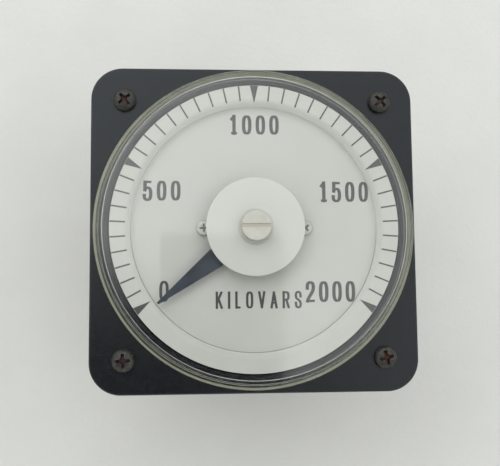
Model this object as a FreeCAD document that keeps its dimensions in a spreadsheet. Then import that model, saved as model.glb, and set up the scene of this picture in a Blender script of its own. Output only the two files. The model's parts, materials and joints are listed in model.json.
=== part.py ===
"""Switchboard kilovar meter: a square-flanged panel instrument with a long circular scale.

Millimetres. +Z is the way the dial faces, +X is right and +Y is up as the dial is read.
The origin is the centre of the four mounting studs, on the back face of the flange, which
is the face that lies against the panel.
"""

import FreeCAD, Part
import math
import os
import re
import Sketcher

DOC = FreeCAD.newDocument("KilovarMeter")
Vector = FreeCAD.Vector

# Driving dimensions. Each becomes one cell of the sheet, under the same name.
SIZES = {
    # front flange
    "flange_size": 108.0,
    "flange_thick": 12.0,
    "flange_corner": 10.5,
    "flange_edge": 0.7,
    "stud_inset": 11.135,
    # collar that the window is pushed over
    "collar_wall": 2.1,
    "collar_rise": 2.3,
    "snap_depth": 0.5,
    "snap_width": 1.1,
    "snap_lift": 0.75,
    # barrel and rear plate
    "barrel_shoulder": 1.6,
    "barrel_wall": 3.0,
    "barrel_step": 0.5,
    "root_long": 0.6,
    "spigot_long": 3.8,
    "spigot_drop": 0.9,
    "ledge_wide": 7.9,
    "rear_thick": 6.0,
    "rear_inset": 0.5,
    "rear_spigot": 2.0,
    "pad_radius": 8.0,
    "pad_high": 1.0,
    # clearances
    "fit_gap": 0.3,
    "loose_gap": 0.2,
    "slip_gap": 0.1,
    "running_gap": 0.05,
    # mounting screws and their captive nuts
    "mount_radius": 2.083,
    "mount_neck": 1.82,
    "mount_head_radius": 3.7,
    "mount_head_high": 2.6,
    "mount_head_round": 1.5,
    "mount_reach": 16.0,
    "mount_nut_flats": 8.73,
    "mount_nut_thick": 3.2,
    "cross_long": 3.9,
    "cross_wide": 0.95,
    "cross_deep": 1.5,
    # screws through the barrel
    "case_screw_radius": 1.5,
    "case_screw_inset": 3.7,
    "case_head_radius": 2.9,
    "case_head_high": 2.4,
    "case_thread_floor": 1.3,
    "boss_radius": 4.4,
    "slot_wide": 0.8,
    "slot_deep": 1.0,
    # terminals
    "terminal_radius": 3.175,
    "terminal_neck": 2.88,
    "terminal_across": 44.45,
    "terminal_apart": 31.75,
    "terminal_reach": 19.0,
    "terminal_head": 5.0,
    "terminal_head_high": 3.0,
    "tag_radius": 1.9,
    "tag_long": 3.5,
    "washer_radius": 6.5,
    "lock_washer_radius": 5.6,
    "washer_thick": 1.0,
    "terminal_nut_flats": 11.11,
    "terminal_nut_thick": 4.8,
    "thread_lead_in": 0.5,
    # window and its gasket
    "window_margin": 1.3,
    "window_gap": 0.15,
    "window_wall": 2.55,
    "window_face": 1.5,
    "window_rise": 8.1,
    "window_edge": 0.8,
    "window_inner_edge": 0.4,
    "window_neck_wall": 1.4,
    "window_neck_step": 0.65,
    "window_brim": 1.2,
    "brim_edge": 0.5,
    "gasket_thick": 0.6,
    # dial
    "dial_edge_gap": 0.5,
    "dial_sink": 0.4,
    "dial_thick": 2.0,
    "dial_bore": 14.4,
    "ring_wide": 6.5,
    "ring_rise": 3.1,
    "ring_round": 2.2,
    "dial_screw_apart": 33.5,
    "dial_screw_radius": 0.95,
    "dial_head_radius": 2.45,
    "dial_head_high": 1.7,
    "dial_cross_long": 2.8,
    "dial_cross_wide": 0.6,
    "dial_cross_deep": 1.0,
    # hub disk and front bridge
    "disk_radius": 16.1,
    "disk_bore": 5.15,
    "disk_thick": 0.8,
    "disk_rise": 5.4,
    "bridge_thick": 0.8,
    "bridge_drop": 1.6,
    "bridge_hub": 3.4,
    "bridge_leg_wide": 3.4,
    "pillar_circle": 12.5,
    "pillar_radius": 1.6,
    "pillar_neck": 1.0,
    # pointer, in its own direction from the spindle
    "pointer_tip_gap": 0.7,
    "pointer_thick": 0.5,
    "pointer_half": 3.35,
    "pointer_shoulder": 16.0,
    "pointer_flare": 1.7,
    "pointer_stem_half": 1.5,
    "pointer_tip_half": 0.4,
    "pointer_eye": 2.6,
    "rest_angle": 217.75,
    "hub_radius": 2.2,
    "hub_high": 1.8,
    "cross_reach": 7.0,
    "cross_arm_wide": 0.9,
    "cross_arm_thick": 0.5,
    "weight_radius": 0.8,
    "weight_long": 2.2,
    # spindle and its bearings
    "spindle_radius": 0.8,
    "pivot_radius": 0.35,
    "pivot_long": 0.8,
    "jewel_radius": 1.6,
    "jewel_high": 2.0,
    "lower_jewel_radius": 2.0,
    "lower_jewel_high": 5.0,
    "jewel_cup": 0.9,
    "jewel_slot": 0.4,
    # zero adjuster and the arm it turns
    "adjuster_head": 4.85,
    "adjuster_high": 1.55,
    "adjuster_edge": 0.3,
    "adjuster_shank": 2.45,
    "adjuster_slot_wide": 1.25,
    "adjuster_slot_deep": 0.4,
    "dog_radius": 5.75,
    "dog_thick": 0.8,
    "dog_pin_radius": 0.6,
    "dog_pin_circle": 4.3,
    "arm_thick": 0.4,
    "arm_wide": 1.6,
    "arm_ring": 3.0,
    "arm_reach": 10.4,
    "arm_leg_thick": 0.8,
    # hairsprings
    "spring_high": 1.2,
    "spring_thick": 0.25,
    "spring_pitch": 1.25,
    "spring_inner": 1.95,
    "collet_radius": 1.5,
    "spring_post_radius": 0.5,
    # movement plates and the bolts that hold the stack
    "plate_thick": 1.6,
    "plate_bore": 4.0,
    "dial_post_high": 2.5,
    "dial_post_radius": 2.2,
    "bolt_radius": 1.45,
    "bolt_head_radius": 2.6,
    "bolt_head_high": 1.5,
    "bolt_nut_flats": 5.0,
    "bolt_nut_thick": 2.4,
    "spacer_inset": 0.3,
    "plate_over": 1.6,
    "post_out": 3.1,
    "post_long": 26.2,
    "post_radius": 3.0,
    "post_pin_radius": 1.95,
    "post_pin_long": 3.5,
    "post_screw_radius": 1.45,
    "post_screw_long": 6.5,
    "post_head_radius": 2.7,
    "post_head_high": 1.5,
    # iron core, field winding and moving coil
    "core_top": 7.0,
    "core_high": 10.0,
    "pole_wide": 5.0,
    "yoke_wide": 6.0,
    "yoke_leg": 6.0,
    "yoke_foot": 6.0,
    "yoke_reach": 37.0,
    "neck_half": 4.5,
    "pole_slit": 3.0,
    "field_lift": 2.5,
    "bobbin_wall": 0.8,
    "winding_deep": 4.0,
    "flange_over": 0.6,
    "coil_wide": 7.0,
    "coil_inner": 9.0,
    "coil_room": 0.5,
    "former_wall": 0.4,
    "coil_side": 1.65,
    "coil_gap_side": 2.1,
    "carrier_thick": 1.0,
    "carrier_wide": 4.0,
    "carrier_hub": 2.4,
    # electrical parts on the rear terminals
    "board_end": 1.5,
    "board_thick": 1.6,
    "capacitor_radius": 7.5,
    "capacitor_long": 26.0,
    "capacitor_side": 9.5,
    "resistor_radius": 2.4,
    "resistor_long": 15.0,
    "resistor_side": 6.0,
    "resistor_pitch": 6.5,
    "wire_radius": 0.4,
    "lead_radius": 0.5,
    "lead_apart": 14.0,
}

# Heights and radii that follow from the sizes above.
PLACES = {
    "face": "flange_thick",
    "window_top": "face + window_rise",
    "window_under": "window_top - window_face",
    "window_foot": "face + gasket_thick",
    "window_radius": "flange_size / 2 - window_margin",
    "window_inner": "window_radius - window_wall",
    "neck_inner": "window_inner - window_neck_step",
    "neck_radius": "neck_inner + window_neck_wall",
    "brim_under": "collar_top + slip_gap",
    "brim_top": "brim_under + window_brim",
    "collar_radius": "window_inner - window_gap",
    "collar_bore": "collar_radius - collar_wall",
    "collar_top": "face + collar_rise",
    "snap_low": "face + snap_lift",
    "snap_high": "snap_low + snap_width",
    "dial_top": "face - dial_sink",
    "dial_under": "dial_top - dial_thick",
    "dial_radius": "collar_bore - dial_edge_gap",
    "ring_inner": "dial_radius - ring_wide",
    "pointer_reach": "ring_inner - pointer_tip_gap",
    "ring_top": "face + ring_rise",
    "ledge_top": "dial_under - fit_gap",
    "ledge_under": "spigot_long",
    "ledge_bore": "collar_bore - ledge_wide",
    "barrel_radius": "collar_bore + barrel_shoulder",
    "barrel_bore": "barrel_radius - barrel_wall",
    "spigot_radius": "barrel_radius - spigot_drop",
    "rear_inside": "bottom_plate_under - post_long",
    "barrel_back": "rear_inside - rear_spigot",
    "rear_back": "barrel_back - rear_thick",
    "pad_back": "rear_back - pad_high",
    "washer_back": "pad_back - washer_thick",
    "nut_back": "washer_back - terminal_nut_thick",
    "lock_back": "nut_back - washer_thick",
    "wiring_back": "lock_back - terminal_nut_thick",
    "stud_end": "rear_back - terminal_reach",
    "tag_base": "rear_inside + terminal_head_high",
    "board_top": "tag_base + board_thick",
    "disk_top": "face + disk_rise",
    "disk_under": "disk_top - disk_thick",
    "bridge_under": "disk_under - bridge_drop",
    "bridge_top": "bridge_under + bridge_thick",
    "arm_top": "disk_under - fit_gap",
    "arm_under": "arm_top - arm_thick",
    "pointer_top": "bridge_under - fit_gap",
    "pointer_under": "pointer_top - pointer_thick",
    "hub_under": "pointer_under - hub_high",
    "pivot_base": "pointer_top + running_gap",
    "stem_end": "pointer_shoulder - pointer_flare",
    "pillar_turn": "asin((pointer_stem_half + fit_gap + pillar_radius) / pillar_circle) / 1 deg",
    "pillar_angle": "rest_angle + pillar_turn",
    "dial_post_base": "dial_under - dial_post_high",
    "top_plate_under": "dial_post_base - plate_thick",
    "core_under": "0 - core_top - core_high",
    "coil_top": "0 - core_top + coil_room + former_wall + coil_side",
    "coil_under": "core_under - coil_room - former_wall - coil_side",
    "carrier_under": "coil_under - carrier_thick",
    "spring_top": "dial_under - 0.4",
    "spring_under": "spring_top - spring_high",
    "lower_spring_top": "carrier_under - 2.6",
    "lower_spring_under": "lower_spring_top - spring_high",
    "jewel_top": "lower_spring_under - 2.4",
    "bottom_plate_top": "jewel_top - 1.4",
    "bottom_plate_under": "bottom_plate_top - plate_thick",
    "stud_half": "flange_size / 2 - stud_inset",
    "case_screw_circle": "barrel_bore - case_screw_inset",
    "case_screw_side": "case_screw_circle * cos(45)",
    "case_screw_end": "ledge_top - case_thread_floor",
    "adjuster_base": "window_top + slip_gap",
    "adjuster_top": "adjuster_base + adjuster_high",
    "dog_top": "window_under - fit_gap",
    "dog_under": "dog_top - dog_thick",
    "core_middle": "0 - core_top - core_high / 2",
    "former_start": "coil_inner + coil_side",
    "pole_inner": "sqrt((former_start + former_wall + coil_room) ^ 2 + (coil_wide / 2) ^ 2)",
    "pole_outer": "pole_inner + pole_wide",
    "coil_outer": "pole_outer + coil_room + former_wall + coil_gap_side",
    "yoke_inner": "sqrt(coil_outer ^ 2 + (coil_wide / 2) ^ 2) + coil_room",
    "yoke_outer": "yoke_inner + yoke_wide",
    "bobbin_half": "neck_half + loose_gap + bobbin_wall + winding_deep + flange_over",
    "yoke_mouth": "bobbin_half + 3 * fit_gap",
    "field_start": "pole_outer + field_lift",
    "field_end": "yoke_reach - yoke_foot - 2 * fit_gap",
    "bolt_circle": "(yoke_inner + yoke_outer) / 2",
    "spacer_radius": "yoke_wide / 2 - spacer_inset",
    "top_plate_radius": "yoke_outer + plate_over",
    "post_circle": "yoke_outer + post_out",
    "bottom_plate_radius": "post_circle + post_radius + plate_over",
    "lead_back": "(field_start + field_end) / 2",
    "board_half_x": "post_circle",
    "board_half_y": "lead_back + board_end",
}

SHEET = DOC.addObject("Spreadsheet::Sheet", "Size")
NODES = {}


def fill_sheet():
    for row, (name, value) in enumerate(SIZES.items(), 1):
        SHEET.set(f"A{row}", name)
        SHEET.set(f"B{row}", str(value))
        SHEET.setAlias(f"B{row}", name)
    DOC.recompute()


def formula(text):
    """Spells a formula out in cells of the sheet."""

    def spell(match):
        word = match.group(0)
        if word in PLACES:
            return f"({formula(PLACES[word])})"
        return f"Size.{word}" if word in SIZES else word

    return re.sub(r"[A-Za-z_]\w*", spell, text)


def bind(thing, **sizes):
    """Ties properties to formulas; x, y, z and turn are parts of the placement."""
    placement = {
        "x": "Placement.Base.x",
        "y": "Placement.Base.y",
        "z": "Placement.Base.z",
        "turn": "Placement.Rotation.Angle",
    }
    for name, text in sizes.items():
        thing.setExpression(placement.get(name, name), formula(text))
    return thing


def keep(thing, node):
    """Marks a finished sub-part: its label is its node's name."""
    thing.Label = node
    NODES[node] = thing
    return thing


# ---- sketches and Part Design features


def new_body(name):
    return DOC.addObject("PartDesign::Body", name)


def sketch_on(body, role, height="0"):
    """A sketch on one of the body's own origin planes, raised along its normal."""
    sketch = body.newObject("Sketcher::SketchObject", "Sketch")
    plane = next(item for item in body.Origin.OriginFeatures if item.Role == role)
    sketch.AttachmentSupport = (plane, [""])
    sketch.MapMode = "FlatFace"
    sketch.setExpression("AttachmentOffset.Base.z", formula(height))
    return sketch


def fix_point(sketch, element, position, x, y):
    for kind, text in (("DistanceX", x), ("DistanceY", y)):
        rule = Sketcher.Constraint(kind, -1, 1, element, position, 1.0)
        number = sketch.addConstraint(rule)
        sketch.setExpression(f"Constraints[{number}]", formula(text))


def polygon(sketch, corners):
    """A closed outline with a formula for each corner's place."""
    count = len(corners)
    first = sketch.GeometryCount
    spots = [
        Vector(math.cos(math.tau * n / count), math.sin(math.tau * n / count), 0)
        for n in range(count)
    ]
    for n in range(count):
        sketch.addGeometry(Part.LineSegment(spots[n], spots[(n + 1) % count]), False)
    for n in range(count):
        after = first + (n + 1) % count
        sketch.addConstraint(Sketcher.Constraint("Coincident", first + n, 2, after, 1))
    for n, (x, y) in enumerate(corners):
        fix_point(sketch, first + n, 1, x, y)
    return sketch


def circle(sketch, radius, x="0", y="0"):
    element = sketch.addGeometry(Part.Circle(Vector(1, 1, 0), Vector(0, 0, 1), 1.0), False)
    fix_point(sketch, element, 3, x, y)
    number = sketch.addConstraint(Sketcher.Constraint("Radius", element, 1.0))
    sketch.setExpression(f"Constraints[{number}]", formula(radius))
    return sketch


def rectangle(low_x, low_y, high_x, high_y):
    return [(low_x, low_y), (high_x, low_y), (high_x, high_y), (low_x, high_y)]


def screw_slot(head_radius, width):
    """A driver's slot across a screw head, open at both ends."""
    return rectangle(f"0 - {head_radius} - 1", f"0 - {width} / 2", f"{head_radius} + 1", f"{width} / 2")


def cross_outline(length, width):
    """The twelve corners of an upright cross about the origin."""
    far = f"{length} / 2"
    near = f"{width} / 2"
    corners = []
    for turn in range(4):
        for along, across in ((far, f"0 - {near}"), (far, near), (near, near)):
            x, y = along, across
            for _ in range(turn):
                x, y = f"0 - ({y})", x
            corners.append((x, y))
    return corners


def grow(body, kind, sketch, **settings):
    """Adds a feature to a body and checks that it changed the solid."""
    before = body.Shape.Volume if body.Tip else 0.0
    feature = body.newObject(f"PartDesign::{kind}", kind)
    feature.Profile = sketch
    for name, value in settings.items():
        if isinstance(value, str) and name in ("Length", "Length2"):
            feature.setExpression(name, formula(value))
        else:
            setattr(feature, name, value)
    DOC.recompute()
    if abs(body.Shape.Volume - before) < 1e-6:
        raise RuntimeError(f"{body.Name}: {feature.Name} changed nothing")
    return feature


def pad(body, sketch, length):
    return grow(body, "Pad", sketch, Length=length)


def pocket(body, sketch, depth, upward=False):
    return grow(body, "Pocket", sketch, Length=depth, Reversed=upward)


def revolve(body, sketch, kind="Revolution"):
    return grow(body, kind, sketch, ReferenceAxis=(sketch, ["V_Axis"]), Angle=360)


def around(body, feature, count):
    """Repeats a feature round the Z axis."""
    pattern = body.newObject("PartDesign::PolarPattern", "PolarPattern")
    pattern.Originals = [feature]
    pattern.Axis = (feature.Profile[0], ["N_Axis"])
    pattern.Angle = 360
    pattern.Occurrences = count
    body.Tip = pattern
    DOC.recompute()
    return pattern


def mirrored(body, features, role):
    mirror = body.newObject("PartDesign::Mirrored", "Mirrored")
    mirror.Originals = features
    plane = next(item for item in body.Origin.OriginFeatures if item.Role == role)
    mirror.MirrorPlane = (plane, [""])
    body.Tip = mirror
    DOC.recompute()
    return mirror


def round_edges(body, chosen, radius, kind="Fillet"):
    """Fillets or chamfers the edges that a test picks from the body so far."""
    DOC.recompute()
    names = [
        f"Edge{number}"
        for number, edge in enumerate(body.Shape.Edges, 1)
        if chosen(edge)
    ]
    if not names:
        raise RuntimeError(f"{body.Name}: no edge to round")
    base = body.Tip
    feature = body.newObject(f"PartDesign::{kind}", kind)
    feature.Base = (base, names)
    feature.setExpression("Radius" if kind == "Fillet" else "Size", formula(radius))
    body.Tip = feature
    DOC.recompute()
    return feature


def turned(name, outline):
    """A body turned round the Z axis from an outline of radius and height."""
    body = new_body(name)
    revolve(body, polygon(sketch_on(body, "XZ_Plane"), outline))
    return body


def tube(name, inner, outer, low, high):
    return turned(name, rectangle(inner, low, outer, high))


def size_of(text):
    """The present value of a formula, read back through the sheet."""
    probe = DOC.getObject("Probe") or DOC.addObject("App::FeaturePython", "Probe")
    if "Value" not in probe.PropertiesList:
        probe.addProperty("App::PropertyFloat", "Value")
    probe.setExpression("Value", formula(text))
    probe.recompute()
    return probe.Value


def ring_edge(radius, height):
    """A test for round edges of one radius at one height."""
    wanted_radius = size_of(radius)
    wanted_height = size_of(height)

    def chosen(edge):
        if not isinstance(edge.Curve, Part.Circle):
            return False
        off_radius = abs(edge.Curve.Radius - wanted_radius)
        return off_radius < 1e-4 and abs(edge.Curve.Center.z - wanted_height) < 1e-4

    return chosen


def upright_edge(edge):
    return abs(edge.tangentAt(edge.FirstParameter).z) > 0.999


# ---- Part primitives and booleans


def cylinder(radius, low, high, x="0", y="0"):
    solid = DOC.addObject("Part::Cylinder", "Cylinder")
    return bind(solid, Radius=radius, Height=f"({high}) - ({low})", x=x, y=y, z=low)


def box(low, high):
    """A box between two corners, each a triple of formulas."""
    solid = DOC.addObject("Part::Box", "Box")
    sides = [f"({top}) - ({bottom})" for bottom, top in zip(low, high)]
    bind(solid, Length=sides[0], Width=sides[1], Height=sides[2])
    return bind(solid, x=low[0], y=low[1], z=low[2])


def fuse(*solids):
    union = DOC.addObject("Part::MultiFuse", "Fuse")
    union.Shapes = list(solids)
    return union


def cut(base, *tools):
    result = DOC.addObject("Part::Cut", "Cut")
    result.Base = base
    result.Tool = tools[0] if len(tools) == 1 else fuse(*tools)
    return result


def hex_nut(flats, low, high, bore):
    """A hexagon nut with both rims bevelled, on the Z axis."""
    prism = DOC.addObject("Part::Prism", "Prism")
    prism.Polygon = 6
    across = f"{flats} / sqrt(3)"
    bind(prism, Circumradius=across, Height=f"({high}) - ({low})", z=low)
    bevel = f"({across} - {flats} / 2) * 0.6"
    rim = f"{across} - {bevel}"
    blank = turned(
        "NutBlank",
        [
            ("0", low),
            (rim, low),
            (across, f"({low}) + {bevel} * 0.6"),
            (across, f"({high}) - {bevel} * 0.6"),
            (rim, high),
            ("0", high),
        ],
    )
    common = DOC.addObject("Part::Common", "Common")
    common.Base = prism
    common.Tool = blank
    return cut(common, cylinder(bore, f"({low}) - 1", f"({high}) + 1"))


def group(node, pattern, places):
    """One node of separate solids: links to a pattern piece at each place."""
    links = []
    for x, y in places:
        link = DOC.addObject("App::Link", f"{node}_link")
        link.LinkedObject = pattern
        links.append(bind(link, x=x, y=y))
    compound = DOC.addObject("Part::Compound", node)
    compound.Links = links
    return keep(compound, node)


def corners_of(half_x, half_y):
    return [(f"{a} * {half_x}", f"{b} * {half_y}") for a in (1, -1) for b in (1, -1)]


def on_circle(radius, angles):
    return [(f"{radius} * cos({angle})", f"{radius} * sin({angle})") for angle in angles]


STUD_PLACES = corners_of("stud_half", "stud_half")
TERMINAL_PLACES = corners_of("terminal_across / 2", "terminal_apart / 2")
CASE_SCREW_PLACES = corners_of("case_screw_side", "case_screw_side")
BOLT_PLACES = on_circle("bolt_circle", (30, 150, 210, 330))
POST_PLACES = on_circle("post_circle", (0, 90, 180, 270))
PILLAR_PLACES = on_circle("pillar_circle", ("pillar_angle", "180 - pillar_angle"))
DIAL_SCREW_PLACES = [("dial_screw_apart / 2", "0"), ("0 - dial_screw_apart / 2", "0")]


# ---- case


def front_bezel():
    """Square flange with the round collar, bored out, counterbored for the barrel."""
    body = new_body("FrontBezel")
    half = "flange_size / 2"
    square = rectangle(f"0 - {half}", f"0 - {half}", half, half)
    pad(body, polygon(sketch_on(body, "XY_Plane"), square), "flange_thick")
    round_edges(body, upright_edge, "flange_corner")
    top = size_of("face")

    def on_front(edge):
        return all(abs(corner.Point.z - top) < 1e-6 for corner in edge.Vertexes)

    round_edges(body, on_front, "flange_edge")
    collar = rectangle("ledge_bore", "face - 2", "collar_radius", "collar_top")
    revolve(body, polygon(sketch_on(body, "XZ_Plane"), collar))
    bore = [
        ("0", "0 - 1"),
        ("barrel_radius + slip_gap", "0 - 1"),
        ("barrel_radius + slip_gap", "barrel_step"),
        ("spigot_radius + slip_gap", "barrel_step"),
        ("spigot_radius + slip_gap", "ledge_under"),
        ("ledge_bore", "ledge_under"),
        ("ledge_bore", "ledge_top"),
        ("collar_bore", "ledge_top"),
        ("collar_bore", "collar_top + 1"),
        ("0", "collar_top + 1"),
    ]
    revolve(body, polygon(sketch_on(body, "XZ_Plane"), bore), "Groove")
    groove = "collar_radius - snap_depth"
    snap = rectangle(groove, "snap_low", "collar_radius + 1", "snap_high")
    revolve(body, polygon(sketch_on(body, "XZ_Plane"), snap), "Groove")
    holes = sketch_on(body, "XY_Plane", "face + 1")
    for x, y in STUD_PLACES:
        circle(holes, "mount_radius + loose_gap", x, y)
    pocket(body, holes, "flange_thick + 2")
    seats = sketch_on(body, "XY_Plane", "0")
    across = "(mount_nut_flats + 2 * slip_gap) / sqrt(3)"
    for x, y in STUD_PLACES:
        corners = [
            (f"{x} + {across} * cos({turn})", f"{y} + {across} * sin({turn})")
            for turn in range(0, 360, 60)
        ]
        polygon(seats, corners)
    pocket(body, seats, "mount_nut_thick + fit_gap + loose_gap", upward=True)
    threads = sketch_on(body, "XY_Plane", "ledge_under")
    for x, y in CASE_SCREW_PLACES:
        circle(threads, "case_screw_radius + running_gap", x, y)
    pocket(body, threads, "case_screw_end - ledge_under + loose_gap", upward=True)
    return keep(body, "front_bezel")


def case_barrel():
    """Open tube with an inside boss for each through screw."""
    body = new_body("CaseBarrel")
    wall = [
        ("barrel_bore", "barrel_back"),
        ("barrel_radius", "barrel_back"),
        ("barrel_radius", "0 - root_long - spigot_drop"),
        ("spigot_radius", "0 - root_long"),
        ("spigot_radius", "spigot_long"),
        ("barrel_bore", "spigot_long"),
    ]
    revolve(body, polygon(sketch_on(body, "XZ_Plane"), wall))
    boss = sketch_on(body, "XY_Plane", "barrel_back")
    circle(boss, "boss_radius", *CASE_SCREW_PLACES[0])
    around(body, pad(body, boss, "spigot_long - barrel_back"), 4)
    holes = sketch_on(body, "XY_Plane", "spigot_long + 1")
    circle(holes, "case_screw_radius + loose_gap", *CASE_SCREW_PLACES[0])
    around(body, pocket(body, holes, "spigot_long - barrel_back + 2"), 4)
    return keep(body, "case_barrel")


def rear_plate():
    """Closing plate with a locating spigot, terminal pads and screw holes."""
    disc = [
        ("0", "rear_back"),
        ("barrel_radius - rear_inset - 1", "rear_back"),
        ("barrel_radius - rear_inset", "rear_back + 1"),
        ("barrel_radius - rear_inset", "barrel_back"),
        ("barrel_bore - loose_gap", "barrel_back"),
        ("barrel_bore - loose_gap", "rear_inside"),
        ("0", "rear_inside"),
    ]
    body = turned("RearPlate", disc)
    pads = sketch_on(body, "XY_Plane", "pad_back")
    for x, y in TERMINAL_PLACES:
        circle(pads, "pad_radius", x, y)
    pad(body, pads, "pad_high + 1")
    holes = sketch_on(body, "XY_Plane", "rear_inside + 1")
    for x, y in TERMINAL_PLACES:
        circle(holes, "terminal_radius + slip_gap", x, y)
    for x, y in CASE_SCREW_PLACES:
        circle(holes, "case_screw_radius + loose_gap", x, y)
    pocket(body, holes, "rear_thick + rear_spigot + pad_high + 2")
    heads = sketch_on(body, "XY_Plane", "rear_back - 1")
    for x, y in CASE_SCREW_PLACES:
        circle(heads, "case_head_radius + loose_gap", x, y)
    pocket(body, heads, "case_head_high + 1", upward=True)
    notches = sketch_on(body, "XY_Plane", "rear_inside + 1")
    for x, y in CASE_SCREW_PLACES:
        circle(notches, "boss_radius + loose_gap", x, y)
    pocket(body, notches, "rear_spigot + 1")
    sockets = sketch_on(body, "XY_Plane", "rear_inside + 1")
    for x, y in POST_PLACES:
        circle(sockets, "post_pin_radius + running_gap", x, y)
    pocket(body, sockets, "post_pin_long + loose_gap + 1")
    return keep(body, "rear_plate")


def case_screws():
    """Long slotted screws from the rear plate into the bezel's ledge."""
    head_top = "rear_back + case_head_high"
    outline = [
        ("0", "rear_back"),
        ("case_head_radius", "rear_back"),
        ("case_head_radius", head_top),
        ("case_screw_radius", head_top),
        ("case_screw_radius", "case_screw_end"),
        ("0", "case_screw_end"),
    ]
    screw = turned("CaseScrew", outline)
    slot = screw_slot("case_head_radius", "slot_wide")
    sketch = polygon(sketch_on(screw, "XY_Plane", "rear_back"), slot)
    pocket(screw, sketch, "slot_deep", upward=True)
    group("case_screws", screw, CASE_SCREW_PLACES)


def mounting_screws():
    """Cross-recessed pan-head screws whose threads stand out behind the flange."""
    outline = [
        ("0", "0 - mount_reach"),
        ("mount_radius - thread_lead_in", "0 - mount_reach"),
        ("mount_radius", "thread_lead_in - mount_reach"),
        ("mount_radius", "0 - fit_gap"),
        ("mount_neck", "0 - fit_gap"),
        ("mount_neck", "face"),
        ("mount_head_radius", "face"),
        ("mount_head_radius", "face + mount_head_high"),
        ("0", "face + mount_head_high"),
    ]
    screw = turned("MountingScrew", outline)
    round_edges(screw, ring_edge("mount_head_radius", "face + mount_head_high"), "mount_head_round")
    recess = sketch_on(screw, "XY_Plane", "face + mount_head_high")
    polygon(recess, cross_outline("cross_long", "cross_wide"))
    pocket(screw, recess, "cross_deep")
    group("mounting_screws", screw, STUD_PLACES)


def captive_nuts():
    nut = hex_nut(
        "mount_nut_flats", "fit_gap", "fit_gap + mount_nut_thick", "mount_neck + running_gap"
    )
    group("captive_nuts", nut, STUD_PLACES)


# ---- window


def window_gasket():
    inner = "collar_radius + slip_gap"
    outer = "window_radius - slip_gap"
    keep(tube("WindowGasket", inner, outer, "face", "window_foot"), "window_gasket")


def window():
    """Clear cup: a flat face on a neck, and a brim round the collar with a bead that snaps in."""
    bead = "window_inner - snap_depth * 0.8"
    middle = "(snap_low + snap_high) / 2"
    outline = [
        ("adjuster_shank + running_gap", "window_under"),
        ("neck_inner", "window_under"),
        ("neck_inner", "brim_under"),
        ("window_inner", "brim_under"),
        ("window_inner", "snap_high - fit_gap"),
        (bead, middle),
        ("window_inner", "snap_low + fit_gap"),
        ("window_inner", "window_foot"),
        ("window_radius", "window_foot"),
        ("window_radius", "brim_top"),
        ("neck_radius", "brim_top"),
        ("neck_radius", "window_top"),
        ("adjuster_shank + running_gap", "window_top"),
    ]
    body = turned("Window", outline)
    round_edges(body, ring_edge("neck_radius", "window_top"), "window_edge")
    round_edges(body, ring_edge("window_radius", "brim_top"), "brim_edge")
    round_edges(body, ring_edge("neck_inner", "window_under"), "window_inner_edge")
    return keep(body, "window")


def zero_adjuster():
    """Slotted button in the window's centre."""
    outline = [
        ("0", "dog_under"),
        ("adjuster_shank", "dog_under"),
        ("adjuster_shank", "adjuster_base"),
        ("adjuster_head", "adjuster_base"),
        ("adjuster_head", "adjuster_top"),
        ("0", "adjuster_top"),
    ]
    body = turned("ZeroAdjuster", outline)
    round_edges(body, ring_edge("adjuster_head", "adjuster_top"), "adjuster_edge")
    slot = sketch_on(body, "XY_Plane", "adjuster_top")
    polygon(slot, screw_slot("adjuster_head", "adjuster_slot_wide"))
    pocket(body, slot, "adjuster_slot_deep")
    return keep(body, "zero_adjuster")


def adjuster_dog():
    """Ring pressed on the button's shank under the window, with one driving pin."""
    body = tube("AdjusterDog", "adjuster_shank", "dog_radius", "dog_under", "dog_top")
    pin = sketch_on(body, "XY_Plane", "arm_under")
    circle(pin, "dog_pin_radius", "0", "dog_pin_circle")
    pad(body, pin, "dog_under - arm_under + dog_thick / 2")
    return keep(body, "adjuster_dog")


# ---- dial


def dial_plate():
    body = tube("DialPlate", "dial_bore", "dial_radius", "dial_under", "dial_top")
    holes = sketch_on(body, "XY_Plane", "dial_top + 1")
    for x, y in DIAL_SCREW_PLACES:
        circle(holes, "dial_screw_radius + loose_gap", x, y)
    pocket(body, holes, "dial_thick + 2")
    return keep(body, "dial_plate")


def scale_ring():
    body = tube("ScaleRing", "ring_inner", "dial_radius", "dial_top", "ring_top")
    round_edges(body, ring_edge("ring_inner", "ring_top"), "ring_round")
    return keep(body, "scale_ring")


def dial_posts():
    outline = [
        ("dial_screw_radius + running_gap", "top_plate_under"),
        ("dial_post_radius - 0.6", "top_plate_under"),
        ("dial_post_radius - 0.6", "dial_post_base"),
        ("dial_post_radius", "dial_post_base"),
        ("dial_post_radius", "dial_under"),
        ("dial_screw_radius + running_gap", "dial_under"),
    ]
    group("dial_posts", turned("DialPost", outline), DIAL_SCREW_PLACES)


def dial_screws():
    head_top = "dial_top + dial_head_high"
    outline = [
        ("0", "top_plate_under"),
        ("dial_screw_radius", "top_plate_under"),
        ("dial_screw_radius", "dial_top"),
        ("dial_head_radius", "dial_top"),
        ("dial_head_radius", head_top),
        ("0", head_top),
    ]
    screw = turned("DialScrew", outline)
    round_edges(screw, ring_edge("dial_head_radius", head_top), "dial_head_high / 2")
    recess = sketch_on(screw, "XY_Plane", head_top)
    polygon(recess, cross_outline("dial_cross_long", "dial_cross_wide"))
    pocket(screw, recess, "dial_cross_deep")
    group("dial_screws", screw, DIAL_SCREW_PLACES)


def hub_disk():
    body = tube("HubDisk", "disk_bore", "disk_radius", "disk_under", "disk_top")
    round_edges(body, ring_edge("disk_radius", "disk_top"), "disk_thick / 4")
    return keep(body, "hub_disk")


# ---- front bridge, pointer and spindle


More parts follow.
